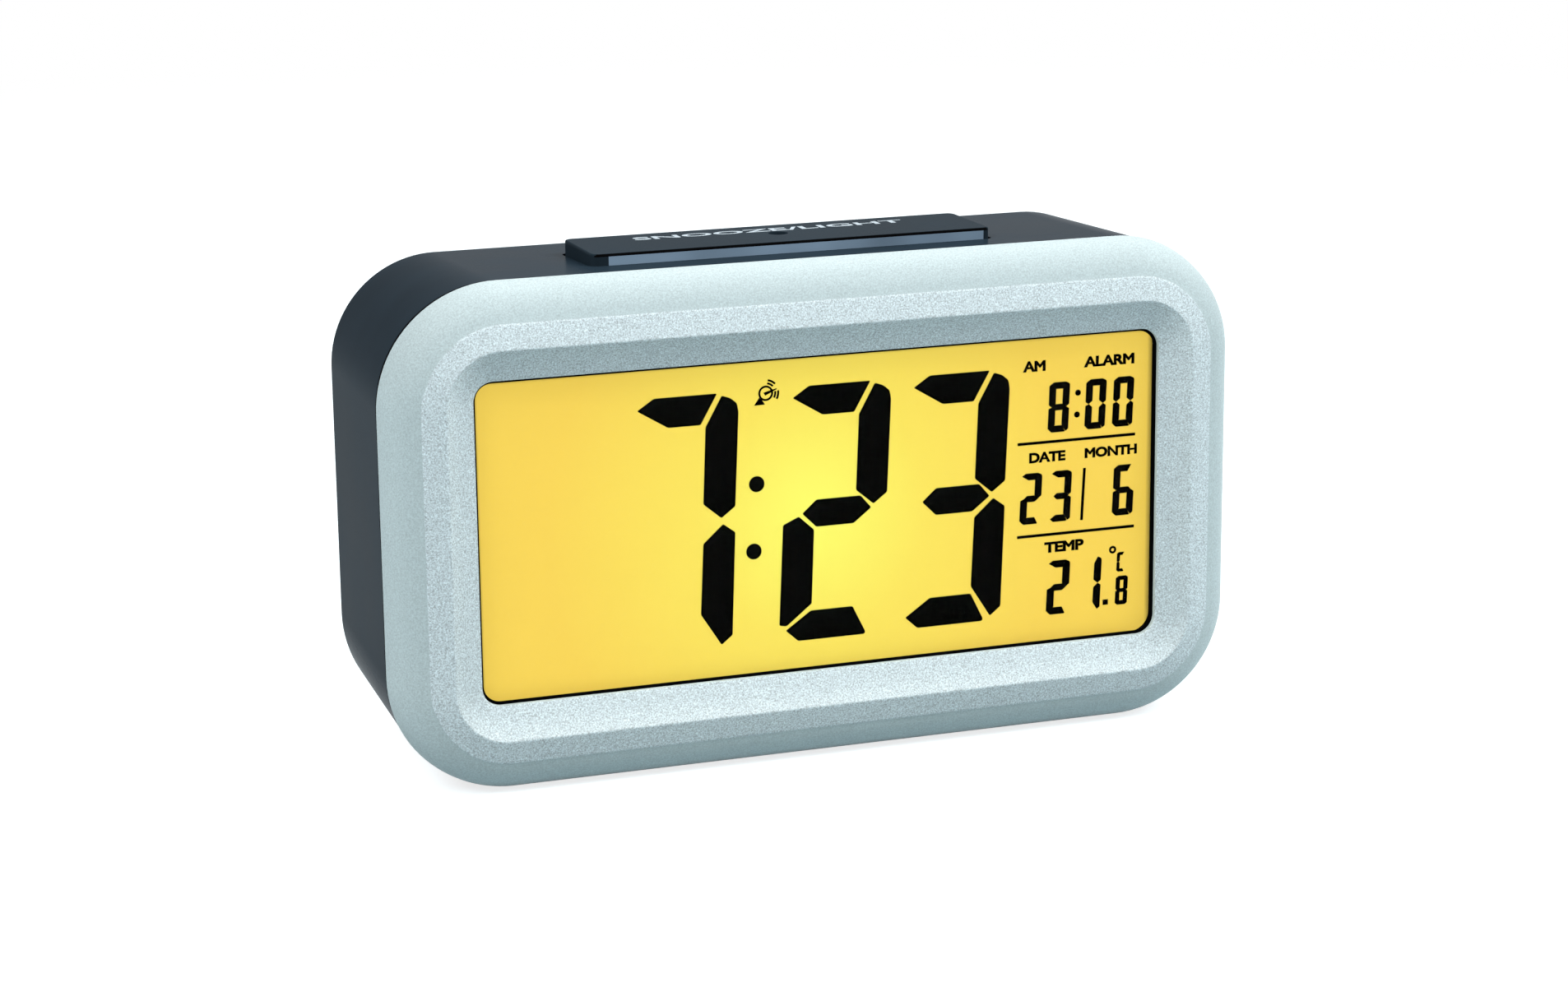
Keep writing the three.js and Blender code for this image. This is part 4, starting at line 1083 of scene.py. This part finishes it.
def swollen(points, amount):
    # moves every side of an outline outward by an amount
    turns = sum(x0 * z1 - x1 * z0 for (x0, z0), (x1, z1) in zip(points, points[1:] + points[:1]))
    outward = amount if turns > 0 else -amount
    normals = []
    for (x0, z0), (x1, z1) in zip(points, points[1:] + points[:1]):
        length = math.hypot(x1 - x0, z1 - z0)
        normals.append(((z1 - z0) / length, (x0 - x1) / length))
    moved = []
    for place, (x, z) in enumerate(points):
        before = normals[place - 1]
        after = normals[place]
        share = outward / (1 + before[0] * after[0] + before[1] * after[1])
        moved.append((x + share * (before[0] + after[0]), z + share * (before[1] + after[1])))
    return moved


def digit(character, x, z, height, swell=0.0):
    factor = (height - 2 * swell) / (2 * digitSize["halfHeight"])
    outlines = segmentOutlines()
    plates = []
    for letter in litSegments[character]:
        points = [
            (x + factor * (px + ink["slant"] * pz), z + factor * pz)
            for px, pz in outlines[letter]
        ]
        if swell > 0:
            points = swollen(points, swell)
        plates.append(flatPlate(points, ink["rounding"] * factor))
    return plates


def strip(x0, x1, z0, z1, width):
    # straight rule between two points
    share = width / 2 / math.hypot(x1 - x0, z1 - z0)
    shiftX = (z0 - z1) * share
    shiftZ = (x1 - x0) * share
    return flatPlate([
        (x0 + shiftX, z0 + shiftZ),
        (x1 + shiftX, z1 + shiftZ),
        (x1 - shiftX, z1 - shiftZ),
        (x0 - shiftX, z0 - shiftZ),
    ])


def arcStrip(x, z, radius, width, start, end, steps=10):
    # piece of a ring, angles in degrees
    angles = [math.radians(start + (end - start) * step / steps) for step in range(steps + 1)]
    outer, inner = (
        [(x + reach * math.cos(angle), z + reach * math.sin(angle)) for angle in angles]
        for reach in (radius + width / 2, radius - width / 2)
    )
    return flatPlate(outer + inner[::-1])


def screenWord(text, x0, x1, z0, z1):
    size = (x1 - x0, z1 - z0, ink["thickness"])
    centre = ((x0 + x1) / 2, ink["depth"] + ink["thickness"] / 2, (z0 + z1) / 2)
    return words(text, size, centre, True, ink["weight"])


screen = {
    "bigHeight": 39.43,
    "bigZ": 37.72,
    "bigDigits": (("7", -22.3), ("2", 2.06), ("3", 21.53)),
    "bigDots": ((-10.44, 43.08, 1.22), (-11.02, 32.72, 1.22)),
    "rules": (
        (32.02, 51.86, 45.44, 45.44),
        (32.02, 51.86, 30.72, 30.72),
        (43.31, 42.88, 40.79, 32.51),
    ),
    "ruleWidth": 0.45,
    "smallDigits": (
        ("8", 38.88, 50.79, 7.86),
        ("0", 45.07, 50.79, 7.86),
        ("0", 49.74, 50.79, 7.86),
        ("2", 34.28, 36.69, 8.07),
        ("3", 39.28, 36.69, 8.07),
        ("6", 49.95, 36.69, 8.07),
        ("2", 38.99, 22.11, 8.64),
        ("1", 44.38, 22.11, 8.64),
        ("8", 49.85, 20.54, 4.64),
    ),
    "unit": ("C", 49.7, 25.15, 3.14, 0.07),
    "degree": (48.27, 27.22, 0.44, 0.36),
    "smallDots": ((42.08, 52.79, 0.48), (41.94, 49.36, 0.48)),
    "decimalPoint": (46.66, 47.56, 18.86, 18.86, 0.85),
    "words": (
        ("AM", 32.82, 36.62, 56.65, 58.36),
        ("ALARM", 43.02, 51.57, 56.65, 58.36),
        ("DATE", 33.96, 40.07, 42.29, 43.94),
        ("MONTH", 43.31, 52.21, 42.29, 43.94),
        ("TEMP", 36.62, 43.31, 27.79, 29.51),
    ),
    # reception sign: a round dish on a foot with its feed horn, and two waves on each side of it
    "dishPlace": (-8.85, 56.85),
    "dishRadius": 1.02,
    "foot": ((-1.85, -1.75), (-0.15, -1.7), (-0.55, -1.05), (-1.0, -0.55)),
    "horn": ((-0.35, 0.1), (-0.1, -0.35), (0.95, 0.12), (1.75, 0.5), (1.7, 0.62), (0.85, 0.42)),
    "waves": (1.5, 1.98),
    "waveStarts": (-30, 42),
    "waveTurn": 38,
    "signWidth": 0.3,
}

marks = []
for character, x in screen["bigDigits"]:
    marks += digit(character, x, screen["bigZ"], screen["bigHeight"])
for place in screen["smallDigits"]:
    marks += digit(*place, ink["swell"])
marks += digit(*screen["unit"])
marks += [disc(*place, 28) for place in screen["bigDots"]]
marks += [disc(*place, 16) for place in screen["smallDots"]]
marks.append(strip(*screen["decimalPoint"]))
marks += [strip(*ends, screen["ruleWidth"]) for ends in screen["rules"]]
marks += [screenWord(*place) for place in screen["words"]]
dish = screen["dishPlace"]
signWidth = screen["signWidth"]
for start in (0, 180):
    marks.append(arcStrip(*dish, screen["dishRadius"], signWidth, start, start + 180, 14))
marks.append(flatPlate(around(dish, screen["foot"])))
marks.append(flatPlate(around(dish, screen["horn"])))
for radius in screen["waves"]:
    for start in screen["waveStarts"]:
        marks.append(arcStrip(*dish, radius, signWidth, start, start + screen["waveTurn"]))
for start in (0, 180):
    marks.append(arcStrip(*screen["degree"], start, start + 180))
dress(joinObjects(marks, "screen_marks"), segmentBlack, "case", slot="display_glass")

barWords = {
    "text": "SNOOZE/LIGHT",
    "size": (43.9, 2.5, 0.05),
    "middle": (-0.15, 4.9),
    "weight": 0.02,
}
barLabel = words(barWords["text"], barWords["size"], (*barWords["middle"], barTop), False, barWords["weight"])
barLabel.name = "bar_words"
dress(barLabel, printLight, "snooze_bar_body", slot="bar_plastic")
print("stage 6: display marks and words")


# Rear controls

def copyMoved(obj, name, offset):
    twin = obj.copy()
    twin.data = obj.data.copy()
    bpy.context.collection.objects.link(twin)
    twin.name = name
    twin.location = [value * mm for value in offset]
    applyPlace(twin)
    return twin


button = {
    "pill": (9.6, 5.2),
    "corner": 2.58,
    "rim": 0.55,
    "lipHeight": 7.2,
    "lipThickness": 1.2,
    "lipCorner": 2.4,
    "stemRadius": 1.6,
}
lipBack = insideY - gap


def buttonModel():
    low, high = nodeBox(buttonNodes[0])
    place = (0, rowZ)
    lipMiddle = lipBack - button["lipThickness"] / 2
    pill = roundedBlock(*button["pill"], lipMiddle, high[1], place, button["corner"], 12)
    roundRim(pill, 1, [high[1]], button["rim"], 5)
    lip = roundedBlock(
        high[0] - low[0], button["lipHeight"],
        lipBack - button["lipThickness"], lipBack, place, button["lipCorner"], 8,
    )
    stem = roundBar(button["stemRadius"], low[1], lipMiddle, place, "Y", 32)
    unite(pill, lip)
    unite(pill, stem)
    smooth(pill)
    return pill


buttonBase = buttonModel()
for node, x in zip(buttonNodes, buttonX):
    twin = copyMoved(buttonBase, node + "_cap", (x, 0, 0))
    dress(twin, keyPlastic, node + "_body", node, slot="key_plastic")
bpy.data.objects.remove(buttonBase, do_unlink=True)

knob = {
    "face": (5.0, 3.2),
    "corner": 0.5,
    "baseThickness": 1,
    "baseCorner": 0.6,
    "stemHalf": (0.8, 0.7),
    "grooves": (-1.4, 0, 1.4),
    "grooveHalf": (0.25, 3),
    "grooveDepth": 0.35,
    "edge": 0.1,
}


def knobModel():
    low, high = nodeBox("slide_knob")
    place = (knobX, rowZ)
    baseFront = lipBack - knob["baseThickness"]
    face = roundedBlock(*knob["face"], baseFront, high[1], place, knob["corner"], 5)
    base = roundedBlock(
        high[0] - low[0], high[2] - low[2], baseFront, lipBack, place, knob["baseCorner"], 5,
    )
    unite(face, base)
    halfX, halfZ = knob["stemHalf"]
    stemBack = (baseFront + lipBack) / 2
    stem = plainBlock(knobX - halfX, knobX + halfX, low[1], stemBack, rowZ - halfZ, rowZ + halfZ)
    unite(face, stem)
    halfX, halfZ = knob["grooveHalf"]
    grooves = [
        plainBlock(
            knobX + shift - halfX, knobX + shift + halfX,
            high[1] - knob["grooveDepth"], high[1] + over, rowZ - halfZ, rowZ + halfZ,
        )
        for shift in knob["grooves"]
    ]
    cutOut(face, *grooves)
    softEdges(face, knob["edge"])
    return face


knobSkin = knobModel()
knobSkin.name = "slide_knob_cap"
dress(knobSkin, keyPlastic, "slide_knob_body", "slide_knob", slot="key_plastic")


def doorModel():
    front = backY - door["thickness"]
    bottom = door["bottom"]
    top = door["top"]
    half = door["latchHalf"]
    plate = roundedBlock(
        2 * door["halfWidth"], doorTall, front, backY, (0, doorMiddle), door["corner"], 10,
    )
    tongueFront = backY - door["latchThickness"]
    tongue = plainBlock(-half, half, tongueFront, backY, top - over, top + door["latchReach"])
    unite(plate, tongue)
    rootLow, rootHigh = door["tabRoot"]
    for x in (-tabX, tabX):
        low = x - door["tabHalf"]
        high = x + door["tabHalf"]
        root = plainBlock(low, high, doorLow[1], front + join, bottom + rootLow, bottom + rootHigh)
        unite(plate, root)
        hook = plainBlock(low, high, doorLow[1], lipBack, doorLow[2], bottom + door["tabTop"])
        unite(plate, hook)
    cuts = []
    slotX = half + door["slotAway"]
    for x in (-slotX, slotX):
        cuts.append(plainBlock(
            x - door["slotHalf"], x + door["slotHalf"],
            front - over, backY + over, top - door["slotLength"], top + over,
        ))
    for below in door["ribs"]:
        cuts.append(plainBlock(
            over - half, half - over, backY - door["ribDepth"], backY + over,
            top - below - door["ribHalf"], top - below + door["ribHalf"],
        ))
    cutOut(plate, *cuts)
    softEdges(plate, door["edge"])
    return plate


doorSkin = doorModel()
doorSkin.name = "battery_door_skin"
dress(doorSkin, housingPlastic, "battery_door_body", "battery_door", slot="dark_plastic")


def screwModel():
    low, high = nodeBox(screwNodes[0])
    x, z = screwPlaces[0]
    headFront = high[1] - screw["headThickness"]
    head = roundBar(screw["headRadius"], headFront, high[1], (x, z), "Y", 40)
    roundRim(head, 1, [high[1]], screw["rim"], 5)
    shank = roundBar(
        screw["shankRadius"], low[1], headFront + screw["shankRoot"], (x, z), "Y", 24,
    )
    unite(head, shank)
    reach = (screw["crossLong"], screw["crossHalf"])
    for halfX, halfZ in (reach, reach[::-1]):
        cross = plainBlock(
            x - halfX, x + halfX, high[1] - screw["crossDepth"], high[1] + over, z - halfZ, z + halfZ,
        )
        cutOut(head, cross)
    smooth(head)
    return head


screwBase = screwModel()
for node, place in zip(screwNodes, screwPlaces):
    offset = (place[0] - screwPlaces[0][0], 0, place[1] - screwPlaces[0][1])
    twin = copyMoved(screwBase, node + "_turned", offset)
    dress(twin, zincSteel, "case", node, slot="zinc_steel")
bpy.data.objects.remove(screwBase, do_unlink=True)
print("stage 7: rear controls, door and screws")


# Cells

cell = {
    "radius": 5.25,
    "rim": 0.45,
    "bandWidth": 12,
    "nubRadius": 1.9,
    "nubLength": 0.8,
    "plateRadius": 4.7,
    "plateDepth": 0.05,
}


def cellModel():
    # first cell: its raised end points to +X
    low, high = nodeBox("cell_1")
    y, z = nodeMiddle("cell_1")[1:]
    shoulder = high[0] - cell["nubLength"]
    bandX = shoulder - cell["bandWidth"]
    can = roundBar(cell["radius"], low[0], shoulder, (y, z), "X", 56)
    roundRim(can, 0, [low[0], shoulder], cell["rim"], 4)
    splitAcross(can, 0, bandX)
    nub = roundBar(cell["nubRadius"], shoulder - over, high[0], (y, z), "X", 32)
    unite(can, nub)
    smooth(can)
    can.data.materials.clear()
    for material in (jacketGrey, jacketBand, nickelSteel):
        can.data.materials.append(material)
    steelFrom = shoulder - cell["plateDepth"]
    steelTo = low[0] + cell["plateDepth"]
    for polygon in can.data.polygons:
        centre = polygon.center / mm
        nearEnd = centre.x > steelFrom or centre.x < steelTo
        if nearEnd and math.hypot(centre.y - y, centre.z - z) < cell["plateRadius"]:
            polygon.material_index = 2
        else:
            polygon.material_index = 1 if centre.x > bandX else 0
    return can


cellBase = cellModel()
for place in range(3):
    node = f"cell_{place + 1}"
    twin = copyMoved(cellBase, node + "_jacket", (0, 0, nodeBox(node)[0][2] - cellLow[2]))
    if place == 1:
        # the middle cell lies the other way round
        enterEdit(twin)
        selectAll()
        middleY = nodeMiddle(node)[1] * mm
        bpy.ops.transform.rotate(value=math.pi, orient_axis="Z", center_override=(0, middleY, 0))
        leaveEdit()
    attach(twin, "case")
    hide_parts(node)
bpy.data.objects.remove(cellBase, do_unlink=True)
print("stage 8: cells")


# Finishes of the CAD pieces that stay, by the start of their names

nodeFinishes = {
    "lens_window": windowClear,
    "lcd_panel": displayAmber,
    "light_guide": guidePlastic,
    "display_tray": whitePlastic,
    "zebra_strip": rubberGrey,
    "backlight_led": lampResin,
    "main_board": boardGreen,
    "board_screw": zincSteel,
    "chip_blob": partPlastic,
    "crystal": nickelSteel,
    "capacitor": partPlastic,
    "ferrite_rod": ferriteGrey,
    "aerial_coil": copperWire,
    "rod_clip": whitePlastic,
    "bar_board": boardGreen,
    "snooze_switch": partPlastic,
    "light_sensor": clearResin,
    "key_board": boardGreen,
    "key_switch": partPlastic,
    "slide_switch": zincSteel,
    "buzzer": partPlastic,
    "thermistor": boardGreen,
    "contact_": nickelSteel,
}
for name in frame["nodes"]:
    node = frame["nodes"][name]
    for start, material in nodeFinishes.items():
        if not name.startswith(start):
            continue
        if not node.data.materials:
            node.data.materials.append(material)
        for place in range(len(node.data.materials)):
            node.data.materials[place] = material
print("stage 9: finishes on the remaining nodes")


# Floor, light and camera

studio = {
    "floorSize": 8,
    "floorColour": (0.42, 0.5, 0.53, 1),
    "floorGlow": 0.78,  # makes the floor white to the eye and in reflections, its shadow stays
    "floorNear": 0.35,
    "floorFar": 0.9,
    "worldLight": 0.04,
    "worldColour": (0.86, 0.97, 1.0, 1),
    "lampAim": (0, 0, 0.04),
    # name, place, side of the square lamp, watts
    "lamps": (
        ("left", (-0.65, -0.35, 0.75), 0.5, 8.9),
        ("right", (0.90, -0.25, 0.40), 0.5, 2.2),
        ("right_high", (0.65, -0.35, 0.75), 0.5, 8.5),
        ("back", (0.30, 0.60, 1.00), 0.6, 7.0),
    ),
}


def seenRay(tree):
    # 1 for rays of the camera, of reflections and through glass, else 0
    rays = addNode(tree, "ShaderNodeLightPath", {}).outputs
    seen = rays["Is Camera Ray"]
    for name in ("Is Glossy Ray", "Is Transmission Ray"):
        seen = mathNode(tree, "MAXIMUM", seen, rays[name])
    return seen


def floorFinish():
    finish = Finish("floor_paper")
    finish.feed({
        "Base Color": finish.shades(finish.noise(3), studio["floorColour"], (0.3, 0.99), (0.7, 1)),
        "Roughness": 0.9,
        "Specular IOR Level": 0.0,
    })
    seen = seenRay(finish.tree)
    glow = finish.add("ShaderNodeEmission", {
        "Strength": mathNode(finish.tree, "MULTIPLY", seen, studio["floorGlow"]),
    })
    lit = finish.add("ShaderNodeAddShader", {0: finish.shader.outputs["BSDF"], 1: glow.outputs["Emission"]})
    # far from the clock the floor turns into plain white
    away = finish.add("ShaderNodeVectorMath", {0: finish.place}, operation="LENGTH")
    share = finish.add("ShaderNodeMapRange", {
        "Value": away.outputs["Value"],
        "From Min": studio["floorNear"],
        "From Max": studio["floorFar"],
    }, interpolation_type="SMOOTHSTEP")
    mixer = finish.add("ShaderNodeMixShader", {
        "Fac": mathNode(finish.tree, "MULTIPLY", seen, share.outputs["Result"]),
        1: lit.outputs["Shader"],
        2: finish.add("ShaderNodeEmission", {}).outputs["Emission"],
    })
    fillInputs(finish.tree, finish.tree.nodes["Material Output"], {"Surface": mixer.outputs["Shader"]})
    return finish.material


bpy.ops.mesh.primitive_plane_add(size=studio["floorSize"])
floor = bpy.context.object
floor.name = "floor"
floor.data.materials.append(floorFinish())

world = bpy.data.worlds.new("studio_world")
bpy.context.scene.world = world
world.use_nodes = True
worldTree = world.node_tree
worldTree.nodes.clear()
soft = addNode(worldTree, "ShaderNodeBackground", {
    "Color": studio["worldColour"], "Strength": studio["worldLight"],
})
white = addNode(worldTree, "ShaderNodeBackground", {"Color": (1, 1, 1, 1), "Strength": 1.0})
mixer = addNode(worldTree, "ShaderNodeMixShader", {
    "Fac": seenRay(worldTree), 1: soft.outputs["Background"], 2: white.outputs["Background"],
})
addNode(worldTree, "ShaderNodeOutputWorld", {"Surface": mixer.outputs["Shader"]})

for name, place, side, watts in studio["lamps"]:
    bpy.ops.object.light_add(type="AREA", location=place)
    lamp = bpy.context.object
    lamp.name = f"softbox_{name}"
    lamp.data.shape = "SQUARE"
    lamp.data.size = side
    lamp.data.energy = watts
    aim = Vector(studio["lampAim"]) - Vector(place)
    lamp.rotation_euler = aim.to_track_quat("-Z", "Y").to_euler()

view = {
    "lens": 80.61,
    "sensorWidth": 36,
    "nearest": 0.01,
    "place": (-0.17851, -0.49952, 0.16564),
    "turn": (76.3507, 0.5775, -19.8041),
}
bpy.ops.object.camera_add(location=view["place"], rotation=[math.radians(angle) for angle in view["turn"]])
camera = bpy.context.object
camera.data.lens = view["lens"]
camera.data.sensor_width = view["sensorWidth"]
camera.data.sensor_fit = "HORIZONTAL"
camera.data.clip_start = view["nearest"]
bpy.context.scene.camera = camera
bpy.context.scene.view_settings.view_transform = "Standard"
print("stage 10: floor, light and camera")
